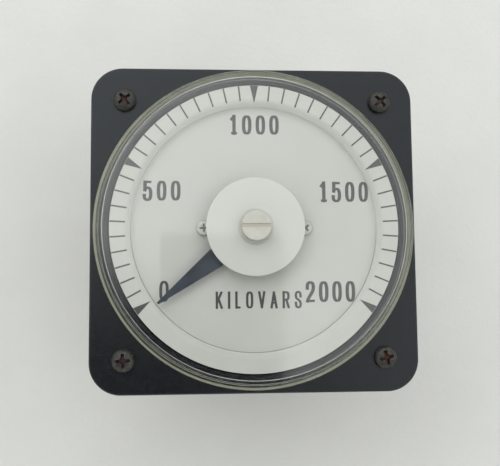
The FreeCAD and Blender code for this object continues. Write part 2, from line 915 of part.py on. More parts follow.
def front_bridge():
    """V-shaped bridge from two pillars to the upper bearing, clear of the pointer's sweep."""
    body = new_body("FrontBridge")
    hub = circle(sketch_on(body, "XY_Plane", "bridge_under"), "bridge_hub")
    pad(body, hub, "bridge_thick")
    leg = sketch_on(body, "XY_Plane", "bridge_under")
    half = "bridge_leg_wide / 2"
    ends = (("0", half), ("0", f"0 - {half}"), ("pillar_circle", f"0 - {half}"), ("pillar_circle", half))
    corners = [
        (
            f"({along}) * cos(pillar_angle) - ({across}) * sin(pillar_angle)",
            f"({along}) * sin(pillar_angle) + ({across}) * cos(pillar_angle)",
        )
        for along, across in ends
    ]
    leg_pad = pad(body, polygon(leg, corners), "bridge_thick")
    eye = sketch_on(body, "XY_Plane", "bridge_under")
    circle(eye, "pillar_radius + 0.4", *PILLAR_PLACES[0])
    eye_pad = pad(body, eye, "bridge_thick")
    mirrored(body, [leg_pad, eye_pad], "YZ_Plane")
    holes = sketch_on(body, "XY_Plane", "bridge_top + 1")
    circle(holes, "jewel_radius + running_gap")
    for x, y in PILLAR_PLACES:
        circle(holes, "pillar_neck + running_gap", x, y)
    pocket(body, holes, "bridge_thick + 2")
    return keep(body, "front_bridge")


def bridge_pillars():
    """Pillars riveted in the top plate; the hub disk sits on their ends."""
    neck = "pillar_neck"
    sleeve_low = "pointer_under - 0.8"
    outline = [
        ("0", "top_plate_under"),
        (neck, "top_plate_under"),
        (neck, "dial_post_base"),
        ("pillar_radius", "dial_post_base"),
        ("pillar_radius", sleeve_low),
        (neck, sleeve_low),
        (neck, "disk_under"),
        ("0", "disk_under"),
    ]
    group("bridge_pillars", turned("BridgePillar", outline), PILLAR_PLACES)
    sleeve = tube("StopSleeve", f"{neck} + running_gap", "pillar_radius", sleeve_low, "bridge_under")
    group("stop_sleeves", sleeve, PILLAR_PLACES)


def upper_jewel_screw():
    body = turned(
        "UpperJewelScrew",
        [
            ("0", "bridge_under + jewel_cup"),
            ("pivot_radius + running_gap", "bridge_under + jewel_cup"),
            ("pivot_radius + running_gap", "bridge_under"),
            ("jewel_radius", "bridge_under"),
            ("jewel_radius", "bridge_under + jewel_high"),
            ("0", "bridge_under + jewel_high"),
        ],
    )
    slot = sketch_on(body, "XY_Plane", "bridge_under + jewel_high")
    polygon(slot, screw_slot("jewel_radius", "jewel_slot"))
    pocket(body, slot, "jewel_slot")
    return keep(body, "upper_jewel_screw")


def lower_jewel_screw():
    body = turned(
        "LowerJewelScrew",
        [
            ("0", "jewel_top - lower_jewel_high"),
            ("lower_jewel_radius", "jewel_top - lower_jewel_high"),
            ("lower_jewel_radius", "jewel_top"),
            ("pivot_radius + running_gap", "jewel_top"),
            ("pivot_radius + running_gap", "jewel_top - jewel_cup"),
            ("0", "jewel_top - jewel_cup"),
        ],
    )
    return keep(body, "lower_jewel_screw")


def spindle():
    foot = "jewel_top + fit_gap"
    return keep(
        turned(
            "Spindle",
            [
                ("0", f"{foot} - pivot_long"),
                ("pivot_radius", f"{foot} - pivot_long"),
                ("pivot_radius", foot),
                ("spindle_radius", foot),
                ("spindle_radius", "pivot_base"),
                ("pivot_radius", "pivot_base"),
                ("pivot_radius", "pivot_base + pivot_long"),
                ("0", "pivot_base + pivot_long"),
            ],
        ),
        "spindle",
    )


def pointer():
    """Flat lance: a narrow stem, a shoulder just under the disk's rim, then a long taper."""
    body = new_body("Pointer")
    stem, wide, tip = "pointer_stem_half", "pointer_half", "pointer_tip_half"
    upper = [
        ("pointer_reach", tip),
        ("pointer_shoulder", wide),
        ("stem_end", stem),
        ("0", stem),
    ]
    lower = [(x, f"0 - {y}") for x, y in reversed(upper)]
    outline = polygon(sketch_on(body, "XY_Plane", "pointer_under"), upper + lower)
    pad(body, outline, "pointer_thick")
    eye = circle(sketch_on(body, "XY_Plane", "pointer_under"), "pointer_eye")
    pad(body, eye, "pointer_thick")
    hole = circle(sketch_on(body, "XY_Plane", "pointer_top + 1"), "spindle_radius")
    pocket(body, hole, "pointer_thick + 2")
    return keep(bind(body, turn="rest_angle"), "pointer")


def pointer_hub():
    keep(tube("PointerHub", "spindle_radius", "hub_radius", "hub_under", "pointer_under"), "pointer_hub")


def balance_cross():
    """Three thin arms under the pointer, away from its blade, for the balance weights."""
    body = new_body("BalanceCross")
    low = "hub_under - cross_arm_thick"
    pad(body, circle(sketch_on(body, "XY_Plane", low), "hub_radius"), "cross_arm_thick")
    half = "cross_arm_wide / 2"
    tail = rectangle("0 - cross_reach", f"0 - {half}", "0", half)
    pad(body, polygon(sketch_on(body, "XY_Plane", low), tail), "cross_arm_thick")
    sides = rectangle(f"0 - {half}", "0 - cross_reach", half, "cross_reach")
    pad(body, polygon(sketch_on(body, "XY_Plane", low), sides), "cross_arm_thick")
    hole = circle(sketch_on(body, "XY_Plane", "hub_under + 1"), "spindle_radius")
    pocket(body, hole, "cross_arm_thick + 2")
    return keep(bind(body, turn="rest_angle"), "balance_cross")


def balance_weights():
    """Small collars on the balance cross, one to an arm."""
    collars = []
    for turn in (90, 180, 270):
        blank = cylinder("weight_radius", "cross_reach - 0.5 - weight_long", "cross_reach - 0.5")
        half = "cross_arm_wide / 2"
        deep = "cross_arm_thick / 2"
        channel = box(
            (f"0 - {deep}", f"0 - {half}", "0"),
            (deep, half, "cross_reach + 1"),
        )
        collar = cut(blank, channel)
        spin = FreeCAD.Rotation(Vector(0, 0, 1), turn)
        lay = FreeCAD.Rotation(Vector(0, 1, 0), 90)
        collar.Placement.Rotation = spin.multiply(lay)
        collars.append(bind(collar, z="hub_under - cross_arm_thick / 2"))
    ring = DOC.addObject("Part::Compound", "BalanceWeights")
    ring.Links = collars
    return keep(bind(ring, turn="rest_angle"), "balance_weights")


# ---- zero arm and hairsprings


def zero_arm():
    """Arm round the upper bearing: a fork for the driving pin, and a leg to the spring."""
    body = tube("ZeroArm", "jewel_radius + slip_gap", "arm_ring", "arm_under", "arm_top")
    inner = "(jewel_radius + slip_gap * 2)"
    half = "arm_wide / 2"
    reach = rectangle(f"0 - {half}", "0 - arm_reach", half, f"0 - {inner}")
    pad(body, polygon(sketch_on(body, "XY_Plane", "arm_under"), reach), "arm_thick")
    leg = rectangle(f"0 - {half}", "0 - arm_reach", half, "arm_leg_thick - arm_reach")
    pad(body, polygon(sketch_on(body, "XY_Plane", "spring_under"), leg), "arm_top - spring_under")
    open_half = "dog_pin_radius + slip_gap"
    for side in (1, -1):
        near, far = f"{side} * ({open_half})", f"{side} * ({open_half} + arm_wide / 2)"
        low, high = (near, far) if side > 0 else (far, near)
        prong = rectangle(low, inner, high, "dog_pin_circle + dog_pin_radius + slip_gap")
        pad(body, polygon(sketch_on(body, "XY_Plane", "arm_under"), prong), "arm_thick")
    return keep(body, "zero_arm")


def hairspring(node, low):
    """A flat spiral of half turns, each an arc, ending on the post or leg that holds it."""
    pitch = SHEET.spring_pitch
    radius = SHEET.spring_inner
    half = SHEET.spring_thick / 2
    limit = SHEET.arm_reach - SHEET.arm_leg_thick - half
    arcs = []
    start, side = radius, 1
    while abs(start - side * radius) + radius <= limit:
        centre = start - side * radius
        arcs.append((centre, radius, side))
        start = centre - side * radius
        side = -side
        radius += pitch / 2
    outer = []
    inner = []
    for centre, radius, side in arcs:
        for edges, width in ((outer, radius + half), (inner, radius - half)):
            first = Vector(centre + side * width, 0, 0)
            crown = Vector(centre, side * width, 0)
            last = Vector(centre - side * width, 0, 0)
            edges.append(Part.Arc(first, crown, last).toShape())
    caps = [
        Part.makeLine(inner[0].Vertexes[0].Point, outer[0].Vertexes[0].Point),
        Part.makeLine(outer[-1].Vertexes[-1].Point, inner[-1].Vertexes[-1].Point),
    ]
    wire = Part.Wire(Part.__sortEdges__(outer + inner + caps))
    solid = Part.Face(wire).extrude(Vector(0, 0, SHEET.spring_high))
    end_turn = 0 if arcs[-1][2] < 0 else 180
    spring = DOC.addObject("Part::Feature", node)
    spring.Shape = solid
    spring.Placement.Rotation = FreeCAD.Rotation(Vector(0, 0, 1), 270 - end_turn)
    return keep(bind(spring, z=low), node)


def spring_collets():
    for node, low, high in (
        ("upper_collet", "spring_under", "spring_top"),
        ("lower_collet", "lower_spring_under", "lower_spring_top"),
    ):
        keep(tube(node, "spindle_radius", "collet_radius", low, high), node)


def lower_spring_post():
    """Post on the bottom plate that holds the lower hairspring's outer end."""
    post = cylinder(
        "spring_post_radius",
        "bottom_plate_top",
        "lower_spring_top",
        "0",
        "fit_gap - arm_reach",
    )
    keep(post, "lower_spring_post")


# ---- movement frame


def movement_plates():
    top = tube("TopPlate", "plate_bore", "top_plate_radius", "top_plate_under", "dial_post_base")
    holes = sketch_on(top, "XY_Plane", "dial_post_base + 1")
    for x, y in BOLT_PLACES:
        circle(holes, "bolt_radius + slip_gap", x, y)
    for x, y in PILLAR_PLACES:
        circle(holes, "pillar_neck", x, y)
    for x, y in DIAL_SCREW_PLACES:
        circle(holes, "dial_post_radius - 0.6", x, y)
    pocket(top, holes, "plate_thick + 2")
    keep(top, "top_plate")
    bottom = tube(
        "BottomPlate",
        "lower_jewel_radius + running_gap",
        "bottom_plate_radius",
        "bottom_plate_under",
        "bottom_plate_top",
    )
    holes = sketch_on(bottom, "XY_Plane", "bottom_plate_top + 1")
    for x, y in BOLT_PLACES:
        circle(holes, "bolt_radius + slip_gap", x, y)
    for x, y in POST_PLACES:
        circle(holes, "post_screw_radius + slip_gap", x, y)
    for side in ("1", "0 - 1"):
        circle(holes, "lead_radius + fit_gap", f"({side}) * lead_apart / 2", "0 - lead_back")
    pocket(bottom, holes, "plate_thick + 2")
    keep(bottom, "bottom_plate")


def frame_bolts():
    """Bolts through both plates and the core, with tubes that set the spacing."""
    end = "bottom_plate_under - bolt_nut_thick - 1"
    outline = [
        ("0", end),
        ("bolt_radius", end),
        ("bolt_radius", "dial_post_base"),
        ("bolt_head_radius", "dial_post_base"),
        ("bolt_head_radius", "dial_post_base + bolt_head_high"),
        ("0", "dial_post_base + bolt_head_high"),
    ]
    group("frame_bolts", turned("FrameBolt", outline), BOLT_PLACES)
    nut_low = "bottom_plate_under - bolt_nut_thick"
    nut = hex_nut("bolt_nut_flats", nut_low, "bottom_plate_under", "bolt_radius + running_gap")
    group("frame_nuts", nut, BOLT_PLACES)
    bore = "bolt_radius + slip_gap"
    upper = tube("UpperSpacer", bore, "spacer_radius", "0 - core_top", "top_plate_under")
    group("upper_spacers", upper, BOLT_PLACES)
    lower = tube("LowerSpacer", bore, "spacer_radius", "bottom_plate_top", "core_under")
    group("lower_spacers", lower, BOLT_PLACES)


def movement_posts():
    """Posts from the rear plate that carry the bottom plate, and their screws."""
    bore = "post_screw_radius + running_gap"
    bore_end = "bottom_plate_under - post_screw_long - loose_gap"
    outline = [
        ("0", "rear_inside - post_pin_long"),
        ("post_pin_radius", "rear_inside - post_pin_long"),
        ("post_pin_radius", "rear_inside"),
        ("post_radius", "rear_inside"),
        ("post_radius", "bottom_plate_under"),
        (bore, "bottom_plate_under"),
        (bore, bore_end),
        ("0", bore_end),
    ]
    group("movement_posts", turned("MovementPost", outline), POST_PLACES)
    head_top = "bottom_plate_top + post_head_high"
    outline = [
        ("0", "bottom_plate_under - post_screw_long"),
        ("post_screw_radius", "bottom_plate_under - post_screw_long"),
        ("post_screw_radius", "bottom_plate_top"),
        ("post_head_radius", "bottom_plate_top"),
        ("post_head_radius", head_top),
        ("0", head_top),
    ]
    screw = turned("MovementScrew", outline)
    slot = screw_slot("post_head_radius", "slot_wide")
    pocket(screw, polygon(sketch_on(screw, "XY_Plane", head_top), slot), "post_head_high / 2")
    group("movement_screws", screw, POST_PLACES)


# ---- iron core and coils


def laminated_core():
    """Pole ring on a neck, inside a yoke whose legs meet at the neck's foot."""
    low, high = "core_under", "0 - core_top"
    foot = "0 - yoke_reach"
    leg = "yoke_mouth + yoke_leg"
    ring = cylinder("yoke_outer", low, high)
    window_box = box(("0 - yoke_mouth", foot, f"{low} - 1"), ("yoke_mouth", "0", f"{high} + 1"))
    yoke = cut(ring, cylinder("yoke_inner", f"{low} - 1", f"{high} + 1"), window_box)
    legs = [
        box((f"0 - ({leg})", foot, low), ("0 - yoke_mouth", "0 - yoke_inner", high)),
        box(("yoke_mouth", foot, low), (leg, "0 - yoke_inner", high)),
    ]
    bar = box((f"0 - ({leg})", foot, low), (leg, f"{foot} + yoke_foot", high))
    pole = cut(cylinder("pole_outer", low, high), cylinder("pole_inner", f"{low} - 1", f"{high} + 1"))
    neck = box(("0 - neck_half", foot, low), ("neck_half", "0 - pole_inner - 1", high))
    slit = box(
        ("neck_half", "0 - pole_outer - 1", f"{low} - 1"),
        ("neck_half + pole_slit", "0 - 1", f"{high} + 1"),
    )
    pole_open = cut(pole, slit)
    stack = fuse(yoke, *legs, bar, pole_open, neck)
    bore = "bolt_radius + slip_gap"
    holes = [cylinder(bore, f"{low} - 1", f"{high} + 1", x, y) for x, y in BOLT_PLACES]
    return keep(cut(stack, *holes), "laminated_core")


def field_winding():
    """Bobbin and winding on the neck of the core."""
    inner_x = "neck_half + loose_gap"
    inner_z = "core_high / 2 + loose_gap"

    def sleeve(extra, start, end):
        side = f"{inner_x} + {extra}"
        rise = f"{inner_z} + {extra}"
        return box(
            (f"0 - ({side})", f"0 - ({end})", f"core_middle - ({rise})"),
            (side, f"0 - ({start})", f"core_middle + ({rise})"),
        )

    wall = "bobbin_wall"
    over = "bobbin_wall + winding_deep + flange_over"
    start, end = "field_start", "field_end"
    spool = fuse(
        sleeve(wall, start, end),
        sleeve(over, start, f"{start} + {wall}"),
        sleeve(over, f"{end} - {wall}", end),
    )
    keep(cut(spool, sleeve("0", f"{start} - 1", f"{end} + 1")), "field_bobbin")
    winding_start = f"{start} + {wall}"
    winding_end = f"{end} - {wall}"
    turns = sleeve(f"{wall} + winding_deep", winding_start, winding_end)
    keep(cut(turns, sleeve(wall, start, end)), "field_coil")


def moving_coil():
    """Winding on a thin former, a closed loop round the pole ring, off the spindle's axis."""
    wide = "coil_wide / 2"

    def loop(extra, wider):
        """A block that follows the former's hole, grown by one thickness."""
        return box(
            (
                f"former_start + former_wall - ({extra})",
                f"0 - {wide} - {wider}",
                f"core_under - coil_room - ({extra})",
            ),
            (
                f"pole_outer + coil_room + ({extra})",
                f"{wide} + {wider}",
                f"0 - core_top + coil_room + ({extra})",
            ),
        )

    former = cut(loop("former_wall", "0"), loop("0", "1"))
    keep(bind(former, turn="rest_angle"), "coil_former")
    block = box(("coil_inner", f"0 - {wide}", "coil_under"), ("coil_outer", wide, "coil_top"))
    keep(bind(cut(block, loop("former_wall", "1")), turn="rest_angle"), "moving_coil")


def coil_carriers():
    """Flat arms above and below the coil, pressed on the spindle."""
    for node, low in (("upper_carrier", "coil_top"), ("lower_carrier", "carrier_under")):
        body = new_body(node)
        hub = circle(sketch_on(body, "XY_Plane", low), "carrier_hub")
        pad(body, hub, "carrier_thick")
        half = "carrier_wide / 2"
        arm = rectangle("0", f"0 - {half}", "coil_outer - 1", half)
        pad(body, polygon(sketch_on(body, "XY_Plane", low), arm), "carrier_thick")
        hole = circle(sketch_on(body, "XY_Plane", f"{low} + carrier_thick + 1"), "spindle_radius")
        pocket(body, hole, "carrier_thick + 2")
        keep(bind(body, turn="rest_angle"), node)


# ---- electrical parts


def terminals():
    """Studs with clamping nuts, and lock washers and nuts for the wiring."""
    outline = [
        ("0", "stud_end"),
        ("terminal_radius - thread_lead_in", "stud_end"),
        ("terminal_radius", "stud_end + thread_lead_in"),
        ("terminal_radius", "wiring_back"),
        ("terminal_neck", "wiring_back"),
        ("terminal_neck", "rear_inside"),
        ("terminal_head", "rear_inside"),
        ("terminal_head", "tag_base"),
        ("tag_radius", "tag_base"),
        ("tag_radius", "tag_base + tag_long"),
        ("0", "tag_base + tag_long"),
    ]
    group("terminal_studs", turned("TerminalStud", outline), TERMINAL_PLACES)
    bore = "terminal_neck + running_gap"
    washer = tube("TerminalWasher", bore, "washer_radius", "washer_back", "pad_back")
    group("terminal_washers", washer, TERMINAL_PLACES)
    nut = hex_nut("terminal_nut_flats", "nut_back", "washer_back", bore)
    group("terminal_nuts", nut, TERMINAL_PLACES)
    lock = tube("LockWasher", bore, "lock_washer_radius", "lock_back", "nut_back")
    group("lock_washers", lock, TERMINAL_PLACES)
    nut = hex_nut("terminal_nut_flats", "wiring_back", "lock_back", bore)
    group("wiring_nuts", nut, TERMINAL_PLACES)


def circuit_board():
    body = new_body("CircuitBoard")
    outline = rectangle("0 - board_half_x", "0 - board_half_y", "board_half_x", "board_half_y")
    pad(body, polygon(sketch_on(body, "XY_Plane", "tag_base"), outline), "board_thick")
    holes = sketch_on(body, "XY_Plane", "board_top + 1")
    for x, y in TERMINAL_PLACES:
        circle(holes, "tag_radius + slip_gap", x, y)
    for x, y in POST_PLACES:
        circle(holes, "post_radius + fit_gap", x, y)
    for x, y in CASE_SCREW_PLACES:
        circle(holes, "boss_radius + fit_gap", x, y)
    pocket(body, holes, "board_thick + 2")
    return keep(body, "circuit_board")


def board_parts():
    """Phase capacitor and series resistors lying on the board, and the field coil's leads."""
    half = "capacitor_long / 2"
    can = cylinder("capacitor_radius", "0", "capacitor_long", f"0 - {half}", "capacitor_side")
    can.Placement.Rotation = FreeCAD.Rotation(Vector(0, 1, 0), 90)
    keep(bind(can, z="board_top + capacitor_radius"), "phase_capacitor")
    resistors = []
    for row in range(3):
        side = f"0 - resistor_side - {row} * resistor_pitch"
        half = "resistor_long / 2"
        lift = "board_top + resistor_radius + fit_gap"
        rod = cylinder("resistor_radius", "0", "resistor_long", f"0 - {half}", side)
        wire = cylinder("wire_radius", "0", "resistor_long + 4", f"0 - {half} - 2", side)
        for piece in (rod, wire):
            piece.Placement.Rotation = FreeCAD.Rotation(Vector(0, 1, 0), 90)
            bind(piece, z=lift)
        legs = [
            cylinder("wire_radius", "board_top", lift, f"({sign}) * ({half} + 2 - wire_radius)", side)
            for sign in ("1", "0 - 1")
        ]
        resistors.append(fuse(rod, wire, *legs))
    bank = DOC.addObject("Part::Compound", "SeriesResistors")
    bank.Links = resistors
    keep(bank, "series_resistors")
    drop = "core_middle - core_high / 2 - loose_gap - bobbin_wall - winding_deep - flange_over"
    lead = turned("FieldLead", rectangle("0", "board_top", "lead_radius", drop))
    sides = [("lead_apart / 2", "0 - lead_back"), ("0 - lead_apart / 2", "0 - lead_back")]
    group("field_leads", lead, sides)


def build():
    fill_sheet()
    for make in (
        front_bezel,
        case_barrel,
        rear_plate,
        case_screws,
        mounting_screws,
        captive_nuts,
        window_gasket,
        window,
        zero_adjuster,
        adjuster_dog,
        dial_plate,
        scale_ring,
        dial_posts,
        dial_screws,
        hub_disk,
        front_bridge,
        bridge_pillars,
        upper_jewel_screw,
        lower_jewel_screw,
        spindle,
        pointer,
        pointer_hub,
        balance_cross,
        balance_weights,
        zero_arm,
        spring_collets,
        lower_spring_post,
        movement_plates,
        frame_bolts,
        movement_posts,
        laminated_core,
        field_winding,
        moving_coil,
        coil_carriers,
        terminals,
        circuit_board,
        board_parts,
    ):
        make()
    hairspring("upper_hairspring", "spring_under")
    hairspring("lower_hairspring", "lower_spring_under")
    DOC.recompute()


def check_and_export():
    for thing in DOC.Objects:
        if "Invalid" in thing.State or "Error" in thing.State:
            raise RuntimeError(f"{thing.Label}: {thing.State}")
    for node, thing in NODES.items():
        if thing.Shape.isNull() or not thing.Shape.isValid() or not thing.Shape.Solids:
            raise RuntimeError(f"{node}: bad shape")
    os.makedirs("parts", exist_ok=True)
    for node, thing in NODES.items():
        thing.Shape.exportStep(f"parts/{node}.step")
        print(f"{node}: {len(thing.Shape.Solids)} solid(s), {thing.Shape.Volume:.1f} mm3")
    print(f"{len(NODES)} nodes")


build()
check_and_export()
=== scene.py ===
# Switchboard kilovar meter: finishes, glass, threads, print, lights and camera round the CAD frame
import json

import bmesh
import bpy
import numpy as np
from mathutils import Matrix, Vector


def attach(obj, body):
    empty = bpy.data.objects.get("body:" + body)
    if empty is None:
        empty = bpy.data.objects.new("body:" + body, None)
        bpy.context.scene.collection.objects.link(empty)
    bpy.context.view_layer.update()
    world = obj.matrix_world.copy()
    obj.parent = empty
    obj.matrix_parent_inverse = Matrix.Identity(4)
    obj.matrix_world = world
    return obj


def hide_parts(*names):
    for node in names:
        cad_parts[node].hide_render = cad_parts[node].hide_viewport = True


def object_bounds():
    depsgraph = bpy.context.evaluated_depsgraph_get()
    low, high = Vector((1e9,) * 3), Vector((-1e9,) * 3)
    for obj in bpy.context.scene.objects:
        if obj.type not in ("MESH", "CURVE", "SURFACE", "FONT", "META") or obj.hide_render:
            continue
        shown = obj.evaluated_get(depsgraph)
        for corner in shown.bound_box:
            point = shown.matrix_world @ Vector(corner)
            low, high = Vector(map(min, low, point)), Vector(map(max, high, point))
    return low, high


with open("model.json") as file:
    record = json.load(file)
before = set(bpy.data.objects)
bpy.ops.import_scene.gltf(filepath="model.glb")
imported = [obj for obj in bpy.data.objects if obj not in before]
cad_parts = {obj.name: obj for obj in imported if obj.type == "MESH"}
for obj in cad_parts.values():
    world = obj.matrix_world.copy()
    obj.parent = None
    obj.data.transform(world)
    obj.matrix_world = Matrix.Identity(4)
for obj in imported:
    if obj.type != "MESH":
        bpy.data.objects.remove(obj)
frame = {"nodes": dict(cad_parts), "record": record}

mm = 0.001
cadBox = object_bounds()
nodes = frame["nodes"]
print("frame loaded,", len(nodes), "nodes")


# a shape is (points in mm, faces), and a piece is several shapes in one mesh
def gridShape(points, wrapRows=False, wrapColumns=False):
    # quads between neighbours of a grid of points, rows by columns
    rows, columns = points.shape[:2]
    number = np.arange(rows * columns).reshape(rows, columns)
    if wrapRows:
        number = np.vstack([number, number[:1]])
    if wrapColumns:
        number = np.hstack([number, number[:, :1]])
    quads = np.stack([number[:-1, :-1], number[:-1, 1:], number[1:, 1:], number[1:, :-1]], -1)
    return points.reshape(-1, 3), quads.reshape(-1, 4).tolist()


def latheShape(profile, steps):
    # a profile of radius and height carried round Z
    profile = np.asarray(profile, float)
    angle = np.linspace(0, 2 * np.pi, steps, endpoint=False)
    radius = np.repeat(profile[:, :1], steps, 1)
    height = np.repeat(profile[:, 1:], steps, 1)
    points = np.stack([radius * np.cos(angle), radius * np.sin(angle), height], -1)
    return gridShape(points, wrapColumns=True)


def moved(shape, x, y=0.0):
    return shape[0] + np.array([x, y, 0.0]), shape[1]


def turned(shape, degrees):
    # round Z, counterclockwise as seen from the front
    c, s = np.cos(np.radians(degrees)), np.sin(np.radians(degrees))
    return shape[0] @ np.array([[c, s, 0], [-s, c, 0], [0, 0, 1]]), shape[1]


def buildPiece(name, shapes, body, slotName, sharp=35.0, replaced=()):
    # joins the shapes, merges seams and poles, points faces outwards, paints the piece as its slot
    # says and puts it on its body
    points, faces, start = [], [], 0
    for vertices, polygons in shapes:
        points.append(vertices)
        faces += [[start + i for i in polygon] for polygon in polygons]
        start += len(vertices)
    mesh = bpy.data.meshes.new(name)
    mesh.from_pydata((np.vstack(points) * mm).tolist(), [], faces)
    work = bmesh.new()
    work.from_mesh(mesh)
    bmesh.ops.remove_doubles(work, verts=work.verts, dist=2e-7)
    bmesh.ops.dissolve_degenerate(work, edges=work.edges, dist=1e-7)
    bmesh.ops.recalc_face_normals(work, faces=work.faces)
    work.to_mesh(mesh)
    work.free()
    mesh.polygons.foreach_set("use_smooth", [True] * len(mesh.polygons))
    mesh.set_sharp_from_angle(angle=np.radians(sharp))
    mesh.materials.append(paints[slotPaints[slotName]])
    piece = bpy.data.objects.new(name, mesh)
    bpy.context.scene.collection.objects.link(piece)
    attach(piece, body)
    if replaced:
        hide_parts(*replaced)


def roundedProfile(marks, steps=7):
    # marks of radius, height and rounding; a rounded corner becomes points on a circle's arc
    marks = np.asarray(marks, float)
    corners, roundings = marks[:, :2], marks[:, 2]
    line = [corners[0]]
    for n in range(1, len(corners) - 1):
        back, here, on = corners[n - 1], corners[n], corners[n + 1]
        if roundings[n] <= 0:
            line.append(here)
            continue
        u = (back - here) / np.linalg.norm(back - here)
        v = (on - here) / np.linalg.norm(on - here)
        half = np.arccos(np.clip(u @ v, -1, 1)) / 2
        reach = roundings[n] / np.tan(half)
        centre = here + (u + v) / np.linalg.norm(u + v) * roundings[n] / np.sin(half)
        first, last = here + u * reach - centre, here + v * reach - centre
        turn = np.arctan2(first[0] * last[1] - first[1] * last[0], first @ last)
        t = turn * np.linspace(0, 1, steps)[:, None]
        line += list(centre + first * np.cos(t) + np.array([-first[1], first[0]]) * np.sin(t))
    line.append(corners[-1])
    return np.array(line)


# node helpers and shared effects
def addNode(tree, kind, **settings):
    # a setting that starts with in_ is a socket's value, and any other is the node's own
    node = tree.nodes.new(kind)
    for key, value in settings.items():
        if key.startswith("in_"):
            node.inputs[key[3:]].default_value = value
        else:
            setattr(node, key, value)
    return node


def newGroup(name, inputs, outputs):
    group = bpy.data.node_groups.new(name, "ShaderNodeTree")
    for label, kind, value in inputs:
        socket = group.interface.new_socket(label, in_out="INPUT", socket_type="NodeSocket" + kind)
        if value is not None:
            socket.default_value = value
    for label, kind in outputs:
        group.interface.new_socket(label, in_out="OUTPUT", socket_type="NodeSocket" + kind)
    return group, group.nodes.new("NodeGroupInput"), group.nodes.new("NodeGroupOutput")


def mathNode(tree, operation, first, second=None, third=None):
    node = addNode(tree, "ShaderNodeMath", operation=operation)
    for n, value in enumerate((first, second, third)):
        if value is None:
            continue
        if isinstance(value, (int, float)):
            node.inputs[n].default_value = value
        else:
            tree.links.new(value, node.inputs[n])
    return node.outputs[0]


def rangeNode(tree, value, low, high, toLow=0.0, toHigh=1.0):
    # a soft step: toLow where the value is low, toHigh where it is high, which may be the lesser
    ends = {"in_From Min": low, "in_From Max": high, "in_To Min": toLow, "in_To Max": toHigh}
    node = addNode(tree, "ShaderNodeMapRange", interpolation_type="SMOOTHSTEP", **ends)
    tree.links.new(value, node.inputs["Value"])
    return node.outputs[0]


def noiseNode(tree, vector, scale, detail=3.0, roughness=0.55, distortion=0.0):
    settings = {"in_Detail": detail, "in_Roughness": roughness, "in_Distortion": distortion}
    node = addNode(tree, "ShaderNodeTexNoise", **settings)
    tree.links.new(vector, node.inputs["Vector"])
    if isinstance(scale, (int, float)):
        node.inputs["Scale"].default_value = scale
    else:
        tree.links.new(scale, node.inputs["Scale"])
    return node.outputs["Fac"]


def patchMask(tree, vector, patch):
    # noise that fades over its span, from the first of its levels to the second
    settings = dict(patch)
    span, levels = settings.pop("span"), settings.pop("levels", (0.0, 1.0))
    return rangeNode(tree, noiseNode(tree, vector, **settings), *span, *levels)


def axesOf(tree, vector):
    split = addNode(tree, "ShaderNodeSeparateXYZ")
    tree.links.new(vector, split.inputs[0])
    return split.outputs


def awayFrom(tree, first, second):
    # straight distance: the root of the two squares' sum
    squares = [mathNode(tree, "POWER", value, 2.0) for value in (first, second)]
    return mathNode(tree, "SQRT", mathNode(tree, "ADD", *squares))


def lineMask(tree, value, middle, half, core=0.35):
    # 1 within core times half of the middle, and 0 from half outwards
    distance = mathNode(tree, "ABSOLUTE", mathNode(tree, "SUBTRACT", value, middle * mm))
    return rangeNode(tree, distance, half * mm, half * mm * core)


def allOf(tree, *masks):
    # the product of several masks
    total = masks[0]
    for mask in masks[1:]:
        total = mathNode(tree, "MULTIPLY", total, mask)
    return total


def makeGrainGroup():
    # fine bumps plus a broad mottle, for mouldings, paint and paper
    group, source, result = newGroup(
        "surfaceGrain",
        [("Vector", "Vector", None), ("Fine", "Float", 900.0), ("Broad", "Float", 40.0)],
        [("Height", "Float"), ("Mottle", "Float")],
    )
    vector, mottleSpan = source.outputs["Vector"], (0.32, 0.68)
    fine = noiseNode(group, vector, source.outputs["Fine"], detail=2.0, roughness=0.6)
    broad = noiseNode(group, vector, source.outputs["Broad"], detail=4.0, roughness=0.6)
    group.links.new(fine, result.inputs["Height"])
    group.links.new(rangeNode(group, broad, *mottleSpan), result.inputs["Mottle"])
    return group


def makeWearGroup():
    # corners found by how far a rounded normal leans from the real one, broken up by noise
    group, source, result = newGroup(
        "edgeWear",
        [("Vector", "Vector", None), ("Radius", "Float", 0.0005), ("Breakup", "Float", 300.0)],
        [("Mask", "Float")],
    )
    vector, leanSpan, patchSpan = source.outputs["Vector"], (0.995, 0.86), (0.38, 0.62)
    bevel = addNode(group, "ShaderNodeBevel", samples=4)
    group.links.new(source.outputs["Radius"], bevel.inputs["Radius"])
    geometry = addNode(group, "ShaderNodeNewGeometry")
    lean = addNode(group, "ShaderNodeVectorMath", operation="DOT_PRODUCT")
    group.links.new(bevel.outputs[0], lean.inputs[0])
    group.links.new(geometry.outputs["Normal"], lean.inputs[1])
    edge = rangeNode(group, lean.outputs["Value"], *leanSpan)
    broken = noiseNode(group, vector, source.outputs["Breakup"], detail=4.0)
    mask = allOf(group, edge, rangeNode(group, broken, *patchSpan))
    group.links.new(mask, result.inputs["Mask"])
    return group


def makeDustGroup():
    # pale specks and a thin film on faces that look up
    group, source, result = newGroup(
        "settledDust",
        [("Vector", "Vector", None), ("Specks", "Float", 700.0), ("Film", "Float", 0.2)],
        [("Mask", "Float")],
    )
    vector, upSpan = source.outputs["Vector"], (0.55, 0.95)
    speckPatch = {"scale": source.outputs["Specks"], "detail": 1.0, "span": (0.80, 0.84)}
    filmPatch = {"scale": 55.0, "detail": 5.0, "span": (0.35, 0.75)}
    geometry = addNode(group, "ShaderNodeNewGeometry")
    upward = rangeNode(group, axesOf(group, geometry.outputs["Normal"])["Z"], *upSpan)
    film = allOf(group, patchMask(group, vector, filmPatch), source.outputs["Film"])
    total = mathNode(group, "MAXIMUM", patchMask(group, vector, speckPatch), film)
    group.links.new(allOf(group, upward, total), result.inputs["Mask"])
    return group


